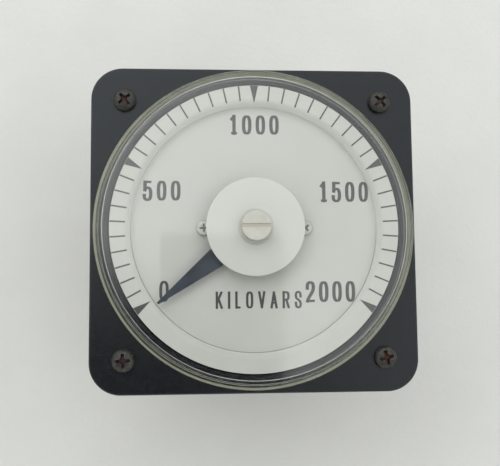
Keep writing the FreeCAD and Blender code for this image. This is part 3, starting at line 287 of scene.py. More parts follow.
def makeStreakGroup():
    # noise squeezed by the stretch, so its lines run across that axis, plus broad tarnish
    stretch = ("Stretch", "Vector", (1.0, 1.0, 40.0))
    group, source, result = newGroup(
        "metalStreaks",
        [("Vector", "Vector", None), stretch, ("Scale", "Float", 200.0)],
        [("Height", "Float"), ("Tarnish", "Float")],
    )
    stretched = addNode(group, "ShaderNodeVectorMath", operation="MULTIPLY")
    group.links.new(source.outputs["Vector"], stretched.inputs[0])
    group.links.new(source.outputs["Stretch"], stretched.inputs[1])
    streak = noiseNode(group, stretched.outputs[0], source.outputs["Scale"], detail=2.0)
    tarnish = {"scale": 120.0, "detail": 4.0, "roughness": 0.6, "span": (0.4, 0.7)}
    tarnish = patchMask(group, source.outputs["Vector"], tarnish)
    group.links.new(streak, result.inputs["Height"])
    group.links.new(tarnish, result.inputs["Tarnish"])
    return group


effects = {
    "grain": makeGrainGroup(),
    "wear": makeWearGroup(),
    "dust": makeDustGroup(),
    "streaks": makeStreakGroup(),
}


def newMaterial(name):
    material = bpy.data.materials.new(name)
    material.use_nodes = True
    tree = material.node_tree
    place = addNode(tree, "ShaderNodeTexCoord").outputs["Object"]
    return material, tree, tree.nodes["Principled BSDF"], place


def useEffect(tree, key, place, **values):
    node = addNode(tree, "ShaderNodeGroup", node_tree=effects[key])
    tree.links.new(place, node.inputs["Vector"])
    for label, value in values.items():
        node.inputs[label].default_value = value
    return node


def mixColor(tree, factor, first, second):
    node = addNode(tree, "ShaderNodeMix", data_type="RGBA")
    tree.links.new(factor, node.inputs["Factor"])
    for label, value in ((6, first), (7, second)):
        if isinstance(value, tuple):
            node.inputs[label].default_value = (*value, 1.0)
        else:
            tree.links.new(value, node.inputs[label])
    return node.outputs[2]


def grainOf(tree, place, spec):
    grain = useEffect(tree, "grain", place, Fine=spec["fine"], Broad=spec["broad"])
    return grain.outputs["Mottle"], grain.outputs["Height"]


def streaksOf(tree, place, spec):
    streaks = useEffect(tree, "streaks", place, Stretch=spec["stretch"], Scale=spec["scale"])
    return streaks.outputs["Tarnish"], streaks.outputs["Height"]


def dressSurface(tree, shader, spec, color, dull, height):
    # colour, roughness that runs over the spec's range as dull runs from 0 to 1, and bump
    tree.links.new(color, shader.inputs["Base Color"])
    rough = rangeNode(tree, dull, 0.0, 1.0, *spec["rough"])
    tree.links.new(rough, shader.inputs["Roughness"])
    bump = addNode(tree, "ShaderNodeBump", in_Strength=1.0, in_Distance=spec["bump"])
    tree.links.new(height, bump.inputs["Height"])
    tree.links.new(bump.outputs[0], shader.inputs["Normal"])


# every plain finish: two shades that mottle, shades of worn edges and of dust, the range of
# roughness, noise scales (fine and broad), bump depth in metres and the dust film's strength.
# joint: radius and half width in mm of a painted shadow line in the crease where the ring stands on
# the dial, the Y where it fades in, and its shade.
# foot: the two heights in mm between which the colour changes downwards, and the lower colour,
# which is lighter: painted light that offsets the shade at the wall's foot
usual = {"metal": 0.0, "broad": 45.0, "tint": (1.0, 1.0, 1.0), "scale": 220.0, "specks": 900.0}
wornEdges = {"Radius": 0.0003, "Breakup": 500.0}
whitePaint = {
    "dusty": (0.46, 0.45, 0.40), "rough": (0.55, 0.66), "fine": 1800.0, "bump": 0.00002,
    "film": 0.02,
}
finishes = {
    "blackMoulding": {
        "shades": ((0.0026, 0.0029, 0.0046), (0.0054, 0.0058, 0.0083)), "broad": 700.0,
        "tint": (0.90, 0.96, 1.0), "worn": (0.035, 0.036, 0.040), "dusty": (0.08, 0.08, 0.078),
        "rough": (0.235, 0.265), "fine": 2300.0, "bump": 0.00006, "film": 0.03,
    },
    "platedSteel": {
        "shades": ((0.50, 0.50, 0.49), (0.63, 0.62, 0.58)), "worn": (0.75, 0.75, 0.73),
        "dusty": (0.4, 0.38, 0.34), "rough": (0.26, 0.42), "metal": 1.0,
        "stretch": (1.0, 1.0, 30.0), "bump": 0.00001, "film": 0.05,
    },
    "blackRubber": {
        "shades": ((0.011, 0.011, 0.012), (0.020, 0.020, 0.020)), "worn": (0.04, 0.04, 0.04),
        "dusty": (0.15, 0.14, 0.13), "rough": (0.70, 0.85), "fine": 1500.0, "bump": 0.00003,
        "film": 0.15,
    },
    "whitePlastic": {
        "shades": ((0.565, 0.56, 0.50), (0.625, 0.62, 0.56)), "worn": (0.78, 0.77, 0.73),
        "dusty": (0.45, 0.41, 0.32), "rough": (0.38, 0.50), "fine": 1200.0, "bump": 0.000015,
        "film": 0.06,
    },
    "dialWhite": {
        **whitePaint, "shades": ((0.595, 0.595, 0.572), (0.635, 0.635, 0.613)),
        # painted shadow: a dark line in the crease where the ring meets the dial, on the near half
        # only
        "worn": (0.62, 0.62, 0.6), "joint": (40.78, 0.20, 6.0, -10.0, (0.30, 0.295, 0.28)),
    },
    # a lighter copy of the dial's white paint: painted light on the raised hub disk
    "diskWhitePaintedLight": {
        **whitePaint, "shades": ((0.665, 0.665, 0.64), (0.705, 0.705, 0.68)),
        "worn": (0.62, 0.62, 0.6),
    },
    "ringWhite": {
        **whitePaint, "shades": ((0.59, 0.59, 0.565), (0.635, 0.635, 0.61)),
        # foot: painted light, a lighter wall towards its foot where shade falls
        "worn": (0.56, 0.56, 0.54), "foot": (14.9, 13.2, (0.76, 0.76, 0.735)),
    },
    "brass": {
        "shades": ((0.62, 0.43, 0.17), (0.72, 0.53, 0.24)), "worn": (0.83, 0.67, 0.36),
        "dusty": (0.35, 0.27, 0.14), "rough": (0.24, 0.42), "metal": 1.0,
        "stretch": (1.0, 1.0, 35.0), "bump": 0.00001, "film": 0.06,
    },
    "brightSteel": {
        "shades": ((0.58, 0.58, 0.58), (0.68, 0.68, 0.67)), "worn": (0.8, 0.8, 0.8),
        "dusty": (0.5, 0.5, 0.48), "rough": (0.12, 0.24), "metal": 1.0, "stretch": (1.0, 1.0, 40.0),
        "bump": 0.000005, "film": 0.0,
    },
    "pointerPaint": {
        "shades": ((0.008, 0.014, 0.026), (0.018, 0.031, 0.050)), "broad": 130.0,
        "worn": (0.08, 0.11, 0.14), "dusty": (0.22, 0.23, 0.22), "rough": (0.34, 0.46),
        "fine": 1600.0, "bump": 0.00002, "film": 0.05,
    },
    "scaleInk": {
        "shades": ((0.040, 0.041, 0.044), (0.060, 0.061, 0.064)), "worn": (0.10, 0.10, 0.10),
        "dusty": (0.25, 0.25, 0.24), "rough": (0.50, 0.62), "fine": 2400.0, "bump": 0.00001,
        "film": 0.04,
    },
    "bareAluminium": {
        "shades": ((0.66, 0.66, 0.67), (0.76, 0.76, 0.76)), "worn": (0.85, 0.85, 0.85),
        "dusty": (0.5, 0.5, 0.48), "rough": (0.30, 0.46), "metal": 1.0, "stretch": (25.0, 1.0, 1.0),
        "bump": 0.00001, "film": 0.03,
    },
    "springBronze": {
        "shades": ((0.52, 0.27, 0.11), (0.66, 0.38, 0.17)), "worn": (0.76, 0.5, 0.27),
        "dusty": (0.3, 0.2, 0.12), "rough": (0.22, 0.34), "metal": 1.0, "stretch": (1.0, 1.0, 40.0),
        "bump": 0.000004, "film": 0.0,
    },
    "bobbinPlastic": {
        "shades": ((0.60, 0.50, 0.32), (0.68, 0.59, 0.41)), "worn": (0.75, 0.68, 0.5),
        "dusty": (0.4, 0.35, 0.25), "rough": (0.45, 0.6), "fine": 900.0, "bump": 0.00002,
        "film": 0.05,
    },
}


def makeFinish(name, values):
    spec = {**usual, **values}
    material, tree, shader, place = newMaterial(name)
    shader.inputs["Metallic"].default_value = spec["metal"]
    mottle, height = (streaksOf if spec["metal"] else grainOf)(tree, place, spec)
    shader.inputs["Specular Tint"].default_value = (*spec["tint"], 1.0)
    wear = useEffect(tree, "wear", place, **wornEdges)
    dust = useEffect(tree, "dust", place, Specks=spec["specks"], Film=spec["film"])
    color = mixColor(tree, mottle, *spec["shades"])
    # painted light: the ring's wall is made lighter towards its foot, where shade falls
    if "foot" in spec:
        high, low, shade = spec["foot"]
        footLightening = rangeNode(tree, axesOf(tree, place)["Z"], high * mm, low * mm)
        color = mixColor(tree, footLightening, color, shade)
    # painted shadow: a dark line in the crease round the ring's foot, faded out on the far half
    if "joint" in spec:
        radius, half, far, nearer, shade = spec["joint"]
        axes = axesOf(tree, place)
        line = lineMask(tree, awayFrom(tree, axes["X"], axes["Y"]), radius, half, 0.4)
        fade = rangeNode(tree, axes["Y"], far * mm, nearer * mm)
        color = mixColor(tree, allOf(tree, line, fade), color, shade)
    color = mixColor(tree, wear.outputs["Mask"], color, spec["worn"])
    color = mixColor(tree, dust.outputs["Mask"], color, spec["dusty"])
    dressSurface(tree, shader, spec, color, mottle, height)
    return material


paints = {name: makeFinish(name, spec) for name, spec in finishes.items()}
print("plain finishes made")

# the zero adjuster: off-white moulding, the floor of its slot darker and yellower: painted shade
# with a grime tint; floor and half in mm
buttonFinish = {
    "shades": ((0.53, 0.525, 0.468), (0.59, 0.585, 0.528)), "grime": (0.46, 0.445, 0.37),
    "floor": 21.35, "high": 0.30, "low": 0.05, "under": 0.3, "half": 0.62, "over": 0.02,
    "fade": 0.12, "rough": (0.38, 0.50), "fine": 1200.0, "broad": 300.0, "bump": 0.000015,
    "patches": {"scale": 700.0, "detail": 4.0, "span": (0.35, 0.65), "levels": (0.55, 1.0)},
}


def makeButtonMaterial(spec):
    material, tree, shader, place = newMaterial("slottedButton")
    mottle, height = grainOf(tree, place, spec)
    axes = axesOf(tree, place)
    floor, half = spec["floor"], spec["half"]
    low = rangeNode(tree, axes["Z"], (floor + spec["high"]) * mm, (floor + spec["low"]) * mm)
    across = mathNode(tree, "ABSOLUTE", axes["Y"])
    inside = rangeNode(tree, across, (half + spec["over"]) * mm, (half - spec["fade"]) * mm)
    above = mathNode(tree, "GREATER_THAN", axes["Z"], (floor - spec["under"]) * mm)
    # painted shade with a grime tint on the floor of the slot
    slotShadeAndGrime = allOf(tree, low, inside, above, patchMask(tree, place, spec["patches"]))
    color = mixColor(tree, slotShadeAndGrime, mixColor(tree, mottle, *spec["shades"]), spec["grime"])
    dressSurface(tree, shader, spec, color, mottle, height)
    return material


paints["slottedButton"] = makeButtonMaterial(buttonFinish)

# the window's seat: vinyl with pale bands and dark lines round it, fainter at its far side: grime,
# and painted reflections of the brim's corners; each is its rings (radius and half width in mm),
# its shade and the scale of its patches
seatFinish = {
    "shades": ((0.17, 0.175, 0.125), (0.25, 0.255, 0.19)),
    # bands and lines: grime, and painted reflections of the brim's corners
    "bands": (((50.95, 0.42), (52.25, 0.30)), (0.38, 0.37, 0.30), 90.0),
    "lines": (((51.6, 0.36), (50.3, 0.28)), (0.014, 0.012, 0.010), 260.0),
    "patches": {"detail": 4.0, "span": (0.3, 0.6), "levels": (0.6, 1.0)},
    "far": 50.0, "near": 28.0, "faint": 0.3, "rough": (0.6, 0.75), "fine": 1500.0, "broad": 160.0,
    "bump": 0.00003,
}


def makeSeatMaterial(spec):
    material, tree, shader, place = newMaterial("paleSeat")
    mottle, height = grainOf(tree, place, spec)
    axes = axesOf(tree, place)
    away = awayFrom(tree, axes["X"], axes["Y"])
    nearSideReflection = rangeNode(tree, axes["Y"], spec["far"] * mm, spec["near"] * mm, spec["faint"], 1.0)
    color = mixColor(tree, mottle, *spec["shades"])
    # grime, and painted reflections of the brim's corners, strongest on the near side
    for rings, shade, scale in (spec["bands"], spec["lines"]):
        masks = [lineMask(tree, away, radius, half) for radius, half in rings]
        broken = patchMask(tree, place, {**spec["patches"], "scale": scale})
        ringGrimeAndReflection = allOf(tree, mathNode(tree, "MAXIMUM", *masks), nearSideReflection, broken)
        color = mixColor(tree, ringGrimeAndReflection, color, shade)
    dressSurface(tree, shader, spec, color, mottle, height)
    return material


paints["paleSeat"] = makeSeatMaterial(seatFinish)


# clear acrylic: bare smooth surfaces, with a faint green body colour that only shows edge-on
windowFinish = {
    "ior": 1.49, "body": (0.80, 0.93, 0.82), "density": 14.0, "through": (0.925, 0.93, 0.92),
    "smears": {
        "scale": 60.0, "detail": 5.0, "roughness": 0.6, "distortion": 1.5, "span": (0.55, 0.8),
        "levels": (0.0, 0.03),
    },
}


def makeWindowMaterial(spec):
    # shadow rays and soft bounced light pass through a plain tint, so what is inside is well lit
    material, tree, shader, place = newMaterial("clearWindow")
    shader.inputs["Transmission Weight"].default_value = 1.0
    shader.inputs["IOR"].default_value = spec["ior"]
    shader.inputs["Base Color"].default_value = (1.0, 1.0, 1.0, 1.0)
    tree.links.new(patchMask(tree, place, spec["smears"]), shader.inputs["Roughness"])
    path = addNode(tree, "ShaderNodeLightPath").outputs
    soft = mathNode(tree, "MAXIMUM", path["Is Shadow Ray"], path["Is Diffuse Ray"])
    clear = addNode(tree, "ShaderNodeBsdfTransparent", in_Color=(*spec["through"], 1.0))
    either = addNode(tree, "ShaderNodeMixShader")
    for n, socket in enumerate((soft, shader.outputs[0], clear.outputs[0])):
        tree.links.new(socket, either.inputs[n])
    absorb = {"in_Color": (*spec["body"], 1.0), "in_Density": spec["density"]}
    volume = addNode(tree, "ShaderNodeVolumeAbsorption", **absorb)
    output = tree.nodes["Material Output"]
    tree.links.new(either.outputs[0], output.inputs["Surface"])
    tree.links.new(volume.outputs[0], output.inputs["Volume"])
    return material


paints["clearWindow"] = makeWindowMaterial(windowFinish)

# blackened screws: a dark head, painted shade that darkens the recess, rust that gathers in the
# recess and spots the rest; sizes in mm
screwFinish = {
    "black": ((0.006, 0.006, 0.005), (0.042, 0.041, 0.035)), "worn": (0.16, 0.145, 0.12),
    # the near-black colour of the recess is painted shade
    "recessShade": (0.004, 0.0035, 0.003), "rust": ((0.020, 0.006, 0.004), (0.19, 0.052, 0.015)),
    "rough": (0.36, 0.9), "recessTop": 13.8, "recessLow": 13.2, "face": 12.0, "centre": 42.865,
    "reach": 2.75, "full": 2.2, "leastRust": 0.12, "bump": 0.00012,
    "edges": {"Radius": 0.0003, "Breakup": 900.0},
    "patches": {"scale": 900.0, "detail": 5.0, "roughness": 0.65, "span": (0.44, 0.60)},
    "spots": {"scale": 1500.0, "span": (0.62, 0.72), "levels": (0.0, 0.6)},
    "patina": {"scale": 1100.0, "detail": 5.0, "roughness": 0.7, "span": (0.36, 0.66)},
    "mottle": {"scale": 2600.0, "detail": 4.0, "span": (0.38, 0.68)},
    "pits": {"scale": 1800.0, "detail": 5.0, "roughness": 0.65},
}


def makeScrewMaterial(spec):
    material, tree, shader, place = newMaterial("blackenedScrew")
    wear = useEffect(tree, "wear", place, **spec["edges"])
    axes = axesOf(tree, place)
    across = [mathNode(tree, "ABSOLUTE", axes[axis]) for axis in ("X", "Y")]
    across = [mathNode(tree, "SUBTRACT", value, spec["centre"] * mm) for value in across]
    near = rangeNode(tree, awayFrom(tree, *across), spec["reach"] * mm, spec["full"] * mm)
    deep = rangeNode(tree, axes["Z"], spec["recessTop"] * mm, spec["recessLow"] * mm)
    above = mathNode(tree, "GREATER_THAN", axes["Z"], spec["face"] * mm)
    recess = allOf(tree, near, deep, above)
    patches = patchMask(tree, place, spec["patches"])
    patches = rangeNode(tree, patches, 0.0, 1.0, spec["leastRust"], 1.0)
    spots = patchMask(tree, place, spec["spots"])
    rusty = mathNode(tree, "MAXIMUM", allOf(tree, recess, patches), spots)
    black = mixColor(tree, patchMask(tree, place, spec["patina"]), *spec["black"])
    black = mixColor(tree, wear.outputs["Mask"], black, spec["worn"])
    # painted shade: the cross recess is darkened towards black
    black = mixColor(tree, recess, black, spec["recessShade"])
    rust = mixColor(tree, patchMask(tree, place, spec["mottle"]), *spec["rust"])
    pits = noiseNode(tree, place, **spec["pits"])
    dressSurface(tree, shader, spec, mixColor(tree, rusty, black, rust), rusty, pits)
    return material


paints["blackenedScrew"] = makeScrewMaterial(screwFinish)

# white screws on the dial: paint with grime left in the recess, between two heights in mm
dialScrewFinish = {
    "white": ((0.52, 0.52, 0.46), (0.64, 0.64, 0.59)), "grime": (0.10, 0.085, 0.06),
    "top": 13.0, "low": 12.6, "rough": (0.4, 0.6), "fine": 1500.0, "broad": 400.0,
    "patches": {"scale": 1300.0, "detail": 4.0, "span": (0.3, 0.6), "levels": (0.45, 1.0)},
    "bump": 0.00002,
}


def makeDialScrewMaterial(spec):
    material, tree, shader, place = newMaterial("paintedScrew")
    mottle, height = grainOf(tree, place, spec)
    deep = rangeNode(tree, axesOf(tree, place)["Z"], spec["top"] * mm, spec["low"] * mm)
    grime = allOf(tree, deep, patchMask(tree, place, spec["patches"]))
    color = mixColor(tree, grime, mixColor(tree, mottle, *spec["white"]), spec["grime"])
    dressSurface(tree, shader, spec, color, mottle, height)
    return material


paints["paintedScrew"] = makeDialScrewMaterial(dialScrewFinish)

# laminated iron: thin varnished sheets stacked along Z; sheet is one's thickness in mm, and
# joint where the gap between two fades in and is full, in parts of a sheet
coreFinish = {
    "sheet": 0.5, "iron": ((0.16, 0.155, 0.15), (0.26, 0.255, 0.25)), "gap": (0.03, 0.026, 0.022),
    "joint": (0.10, 0.02), "metal": 0.8, "rough": (0.38, 0.6), "stretch": (1.0, 1.0, 30.0),
    "scale": 260.0, "bump": 0.00005,
}


def makeCoreMaterial(spec):
    material, tree, shader, place = newMaterial("laminatedIron")
    tarnish, height = streaksOf(tree, place, spec)
    sheets = mathNode(tree, "DIVIDE", axesOf(tree, place)["Z"], spec["sheet"] * mm)
    layer = mathNode(tree, "PINGPONG", sheets, 0.5)
    joint = rangeNode(tree, layer, *spec["joint"])
    color = mixColor(tree, joint, mixColor(tree, tarnish, *spec["iron"]), spec["gap"])
    shader.inputs["Metallic"].default_value = spec["metal"]
    ridges = rangeNode(tree, layer, 0.0, spec["joint"][0])
    dressSurface(tree, shader, spec, color, height, ridges)
    return material


paints["laminatedIron"] = makeCoreMaterial(coreFinish)

# enamelled copper wire: varnished metal, mottled along the coil
copperFinish = {
    "shades": ((0.42, 0.115, 0.035), (0.56, 0.185, 0.060)), "rough": (0.20, 0.36), "metal": 0.9,
    "coat": 0.6, "stretch": (1.0, 1.0, 8.0), "scale": 500.0, "bump": 0.00001,
}


def makeCopperMaterial(spec):
    material, tree, shader, place = newMaterial("enamelledCopper")
    tarnish, height = streaksOf(tree, place, spec)
    color = mixColor(tree, tarnish, *spec["shades"])
    shader.inputs["Metallic"].default_value = spec["metal"]
    shader.inputs["Coat Weight"].default_value = spec["coat"]
    dressSurface(tree, shader, spec, color, height, height)
    return material


paints["enamelledCopper"] = makeCopperMaterial(copperFinish)

# brown laminate board: paper fibres, and copper tracks under the varnish; pitch and width in mm
boardFinish = {
    "board": ((0.19, 0.105, 0.035), (0.25, 0.15, 0.055)), "track": (0.36, 0.22, 0.06), "pitch": 7.0,
    "wide": 1.1, "full": 0.935, "rough": (0.32, 0.5), "fine": 2000.0, "broad": 260.0,
    "bump": 0.00004,
}


def makeBoardMaterial(spec):
    # tracks lie at every pitch of Y, which a whole metre keeps above zero
    material, tree, shader, place = newMaterial("brownLaminate")
    mottle = grainOf(tree, place, spec)[0]
    shifted = mathNode(tree, "ADD", axesOf(tree, place)["Y"], 1.0)
    lane = mathNode(tree, "PINGPONG", shifted, spec["pitch"] * mm / 2)
    track = rangeNode(tree, lane, spec["wide"] * mm, spec["full"] * mm)
    color = mixColor(tree, track, mixColor(tree, mottle, *spec["board"]), spec["track"])
    dressSurface(tree, shader, spec, color, mottle, track)
    return material


paints["brownLaminate"] = makeBoardMaterial(boardFinish)

# coated resistors with plain value bands round their length; band places, width and body in mm
resistorFinish = {
    "coat": ((0.10, 0.24, 0.17), (0.14, 0.30, 0.21)), "lead": (0.6, 0.6, 0.58), "body": 7.5,
    "bands": ((2.0, (0.30, 0.02, 0.02)), (4.1, (0.36, 0.20, 0.02))), "bandHalf": 0.5,
    "rough": (0.3, 0.45), "fine": 1500.0, "broad": 300.0, "bump": 0.00003,
}


def makeResistorMaterial(spec):
    material, tree, shader, place = newMaterial("coatedResistor")
    mottle, height = grainOf(tree, place, spec)
    along = mathNode(tree, "ABSOLUTE", axesOf(tree, place)["X"])
    coat = mixColor(tree, mottle, *spec["coat"])
    for middle, shade in spec["bands"]:
        band = mathNode(tree, "COMPARE", along, middle * mm, spec["bandHalf"] * mm)
        coat = mixColor(tree, band, coat, shade)
    lead = mathNode(tree, "GREATER_THAN", along, spec["body"] * mm)
    tree.links.new(lead, shader.inputs["Metallic"])
    color = mixColor(tree, lead, coat, spec["lead"])
    dressSurface(tree, shader, spec, color, mottle, height)
    return material


paints["coatedResistor"] = makeResistorMaterial(resistorFinish)
paints["drawnCan"] = makeFinish("drawnCan", {**finishes["bareAluminium"], "rough": (0.2, 0.34)})

slotPaints = {  # the record's material slot: its paint
    "black_moulding": "blackMoulding", "plated_steel": "platedSteel",
    "blackened_steel": "blackenedScrew", "rubber": "blackRubber", "seat_vinyl": "paleSeat",
    "clear_window": "clearWindow", "white_plastic": "whitePlastic", "white_paint": "dialWhite",
    "white_screws": "paintedScrew", "brass": "brass", "bright_steel": "brightSteel",
    "pointer_paint": "pointerPaint", "scale_ink": "scaleInk", "bare_aluminium": "bareAluminium",
    "bronze": "springBronze", "core_steel": "laminatedIron", "bobbin_plastic": "bobbinPlastic",
    "copper_wire": "enamelledCopper", "board_laminate": "brownLaminate",
    "capacitor_can": "drawnCan", "resistor_body": "coatedResistor",
}
ownPaints = {"scale_ring": "ringWhite", "hub_disk": "diskWhitePaintedLight", "zero_adjuster": "slottedButton"}
for part in frame["record"]["subparts"]:
    mesh = nodes[part["node"]].data
    mesh.materials.clear()
    mesh.materials.append(paints[slotPaints[part["material_slot"]]])
for node, paint in ownPaints.items():
    nodes[node].data.materials[0] = paints[paint]
print("materials on every node")


# the window: one cup turned from its profile, smooth enough to refract cleanly
windowSizes = {  # radii and heights in mm
    "shank": 2.5, "under": 18.6, "top": 20.1, "neckIn": 49.5, "neck": 50.9, "brimUnder": 14.4,
    "brimTop": 15.6, "inner": 50.15, "outer": 52.7, "foot": 12.6, "bead": 0.4, "beadLow": 13.05,
    "beadHigh": 13.55, "edge": 0.8, "corner": 0.4, "brimEdge": 0.5, "root": 0.35, "beadRound": 0.15,
    "footRound": 0.1, "arc": 9, "steps": 240, "sharp": 50,
}


def makeWindow(w):
    # profile closed on itself and carried round Z: a face, a neck and a brim with a snap bead
    line = (  # radius, height, rounding
        (w["shank"], w["under"], 0), (w["neckIn"], w["under"], w["corner"]),
        (w["neckIn"], w["brimUnder"], 0), (w["inner"], w["brimUnder"], 0),
        (w["inner"], w["beadHigh"], 0),
        (w["inner"] - w["bead"], (w["beadLow"] + w["beadHigh"]) / 2, w["beadRound"]),
        (w["inner"], w["beadLow"], 0), (w["inner"], w["foot"], 0),
        (w["outer"], w["foot"], w["footRound"]), (w["outer"], w["brimTop"], w["brimEdge"]),
        (w["neck"], w["brimTop"], w["root"]), (w["neck"], w["top"], w["edge"]),
        (w["shank"], w["top"], 0),
    )
    profile = roundedProfile(line, w["arc"])
    cup = latheShape(np.vstack([profile, profile[:1]]), w["steps"])
    buildPiece("windowCup", [cup], "case", "clear_window", w["sharp"], ["window"])


makeWindow(windowSizes)
print("window made")


# threads and cross-recessed heads
def threadShape(t, rowsPerTurn=8, slope=1.25, crest=0.1):
    # radius = major less the depth of a V, flat at its crest and root, that climbs one pitch per
    # turn and fades out at the top, with a bevelled free end; centre points close both ends
    major, pitch, low, high, steps = t["major"], t["pitch"], t["end"], t["threadTop"], t["steps"]
    z = np.linspace(low, high, int((high - low) / pitch * rowsPerTurn))[:, None]
    angle = np.linspace(0, 2 * np.pi, steps, endpoint=False)[None, :]
    wave = np.abs(((z / pitch - angle / (2 * np.pi)) % 1.0) * 2 - 1)
    fade = np.clip((high - z) / pitch, 0, 1)
    radius = major - t["thread"] * np.clip(wave * slope - crest, 0, 1) * fade
    radius = np.minimum(radius, major - t["bevel"] + (z - low))
    points = np.stack([radius * np.cos(angle), radius * np.sin(angle), z + 0 * angle], -1)
    ends = np.zeros((2, 1, steps, 3))
    ends[0, ..., 2], ends[1, ..., 2] = low, high
    return gridShape(np.concatenate([ends[0], points, ends[1]]), wrapColumns=True)


def crossHead(h):
    # height = crowned top less a cross that tapers to its floor; a wall and an underside close it
    cross, broad, deep = h["cross"], h["broad"], h["deep"]
    steps, rings = h["headSteps"]
    crownReach, crownPower = 0.97, 2.4
    sideSlope, endSlope = broad * 0.16, deep * 0.55
    boreReach, boreSlope = broad * 0.95, broad * 0.25
    angle = np.linspace(0, 2 * np.pi, steps, endpoint=False)[None, :]
    share = np.linspace(0, 1, rings)[:, None]
    reach = h["head"] * share
    x, y = reach * np.cos(angle), reach * np.sin(angle)
    fall = np.sqrt(np.clip(1 - (share * crownReach) ** crownPower, 0, 1))
    dome = h["high"] - h["crown"] * (1 - fall)
    longSide, shortSide = np.maximum(abs(x), abs(y)), np.minimum(abs(x), abs(y))
    sides = np.clip((broad / 2 - shortSide) / sideSlope, 0, 1)
    ends = np.clip((cross / 2 - longSide) / endSlope, 0, 1)
    bore = np.clip((boreReach - reach) / boreSlope, 0, 1)
    top = np.stack([x, y, dome - deep * np.maximum(sides * ends, bore)], -1)
    foot = top[-1:].copy()
    foot[..., 2] = h["low"]
    middle = foot.copy()
    middle[..., :2] = 0
    return gridShape(np.concatenate([top, foot, middle]), wrapColumns=True)


mountScrew = {  # sizes in mm; turns in degrees by the corner's signs of X and Y
    "at": 42.865, "head": 3.7, "low": 12.0, "high": 14.6, "crown": 1.7, "cross": 4.9, "broad": 1.12,
    "deep": 1.45, "neck": 1.82, "lap": 0.2, "major": 2.083, "end": -16.0, "threadTop": -0.3,
    "pitch": 0.794, "thread": 0.42, "bevel": 0.5, "inThread": 0.4, "steps": 40,
    "headSteps": (144, 44), "sharp": 28,
    "turns": {(1, 1): 42, (-1, 1): 39, (-1, -1): 3, (1, -1): 14},
}


def makeMountScrews(m):
    shapes = []
    low, high = m["threadTop"] - m["inThread"], m["low"] + m["lap"]
    neck = [(0, low), (m["neck"], low), (m["neck"], high), (0, high)]
    for (right, up), turn in m["turns"].items():
        for shape in (crossHead(m), latheShape(neck, m["steps"]), threadShape(m)):
            shapes.append(moved(turned(shape, turn), right * m["at"], up * m["at"]))
    buildPiece("mountScrews", shapes, "case", "blackened_steel", m["sharp"], ["mounting_screws"])


makeMountScrews(mountScrew)

dialScrew = {  # sizes in mm; turns in degrees by the side's sign of X
    "at": 16.75, "head": 2.45, "low": 11.6, "high": 13.3, "crown": 0.8, "cross": 2.9, "broad": 0.62,
    "deep": 0.95, "shank": 0.95, "end": 5.5, "bevel": (0.2, 0.3), "lap": 0.1, "steps": 28,
    "headSteps": (120, 36), "sharp": 30, "turns": {-1: 3, 1: 40},
}


def makeDialScrews(d):
    shapes = []
    radius, low, high = d["shank"], d["end"], d["low"] + d["lap"]
    inwards, upwards = d["bevel"]
    shank = [(0, low), (radius - inwards, low), (radius, low + upwards), (radius, high), (0, high)]
    for side, turn in d["turns"].items():
        for shape in (crossHead(d), latheShape(shank, d["steps"])):
            shapes.append(moved(turned(shape, turn), side * d["at"]))
    buildPiece("dialScrews", shapes, "case", "white_screws", d["sharp"], ["dial_screws"])


makeDialScrews(dialScrew)

terminal = {  # sizes in mm
    "x": 22.225, "y": 15.875, "major": 3.175, "neck": 2.88, "thread": 0.5, "pitch": 0.907,
    "end": -82.95, "threadTop": -76.55, "bevel": 0.5, "inThread": 0.4, "inside": -55.95,
    "head": 5.0, "headTop": -52.95, "tag": 1.9, "tagTop": -49.45, "steps": 48, "sharp": 28,
}


def makeTerminals(t):
    shapes = []
    low = t["threadTop"] - t["inThread"]
    line = (  # radius, height, rounding
        (0, low, 0), (t["neck"], low, 0), (t["neck"], t["inside"], 0),
        (t["head"], t["inside"], 0.3), (t["head"], t["headTop"], 0.4),
        (t["tag"], t["headTop"], 0.2), (t["tag"], t["tagTop"], 0.5), (0, t["tagTop"], 0),
    )
    body = roundedProfile(line)
    for right in (1, -1):
        for up in (1, -1):
            for shape in (latheShape(body, t["steps"]), threadShape(t)):
                shapes.append(moved(shape, right * t["x"], up * t["y"]))
    buildPiece("terminalStuds", shapes, "case", "brass", t["sharp"], ["terminal_studs"])


makeTerminals(terminal)
print("screws and studs made")


# printing: flat strokes with a little thickness
def strokeShape(line, widths, low, high, closed=False, square=True, sharpest=0.45):
    # a rectangle carried along a flat line, across its normal and as wide as the width there;
    # sharpest is the cosine that stops a sharp turn's corner growing
    line = np.array(line, float)
    if closed:
        ahead, behind = np.roll(line, -1, 0), np.roll(line, 1, 0)
    else:
        first, last = line[0] - line[1], line[-1] - line[-2]
        if square:
            line[0] += first / np.linalg.norm(first) * widths[0] / 2
            line[-1] += last / np.linalg.norm(last) * widths[-1] / 2
        ahead = np.vstack([line[1:], line[-1] * 2 - line[-2]])
        behind = np.vstack([line[0] * 2 - line[1], line[:-1]])
    inTan, outTan = line - behind, ahead - line
    inTan /= np.linalg.norm(inTan, axis=1, keepdims=True)
    outTan /= np.linalg.norm(outTan, axis=1, keepdims=True)
    normal = np.stack([-(inTan + outTan)[:, 1], (inTan + outTan)[:, 0]], -1)
    normal /= np.linalg.norm(normal, axis=1, keepdims=True)
    stretch = np.clip(np.sum(normal * np.stack([-inTan[:, 1], inTan[:, 0]], -1), 1), sharpest, 1.0)
    half = (np.asarray(widths) / 2 / stretch)[:, None]
    left, right = line + normal * half, line - normal * half
    size = (len(line), 1)
    under, over = (np.broadcast_to(np.reshape(level, (-1, 1)), size) for level in (low, high))
    corners = ((left, under), (right, under), (right, over), (left, over))
    tube = np.stack([np.hstack(corner) for corner in corners], 1)
    points, faces = gridShape(tube, wrapRows=closed, wrapColumns=True)
    if not closed:
        count = len(points)
        faces += [[0, 1, 2, 3], [count - 1, count - 2, count - 3, count - 4]]
    return points, faces


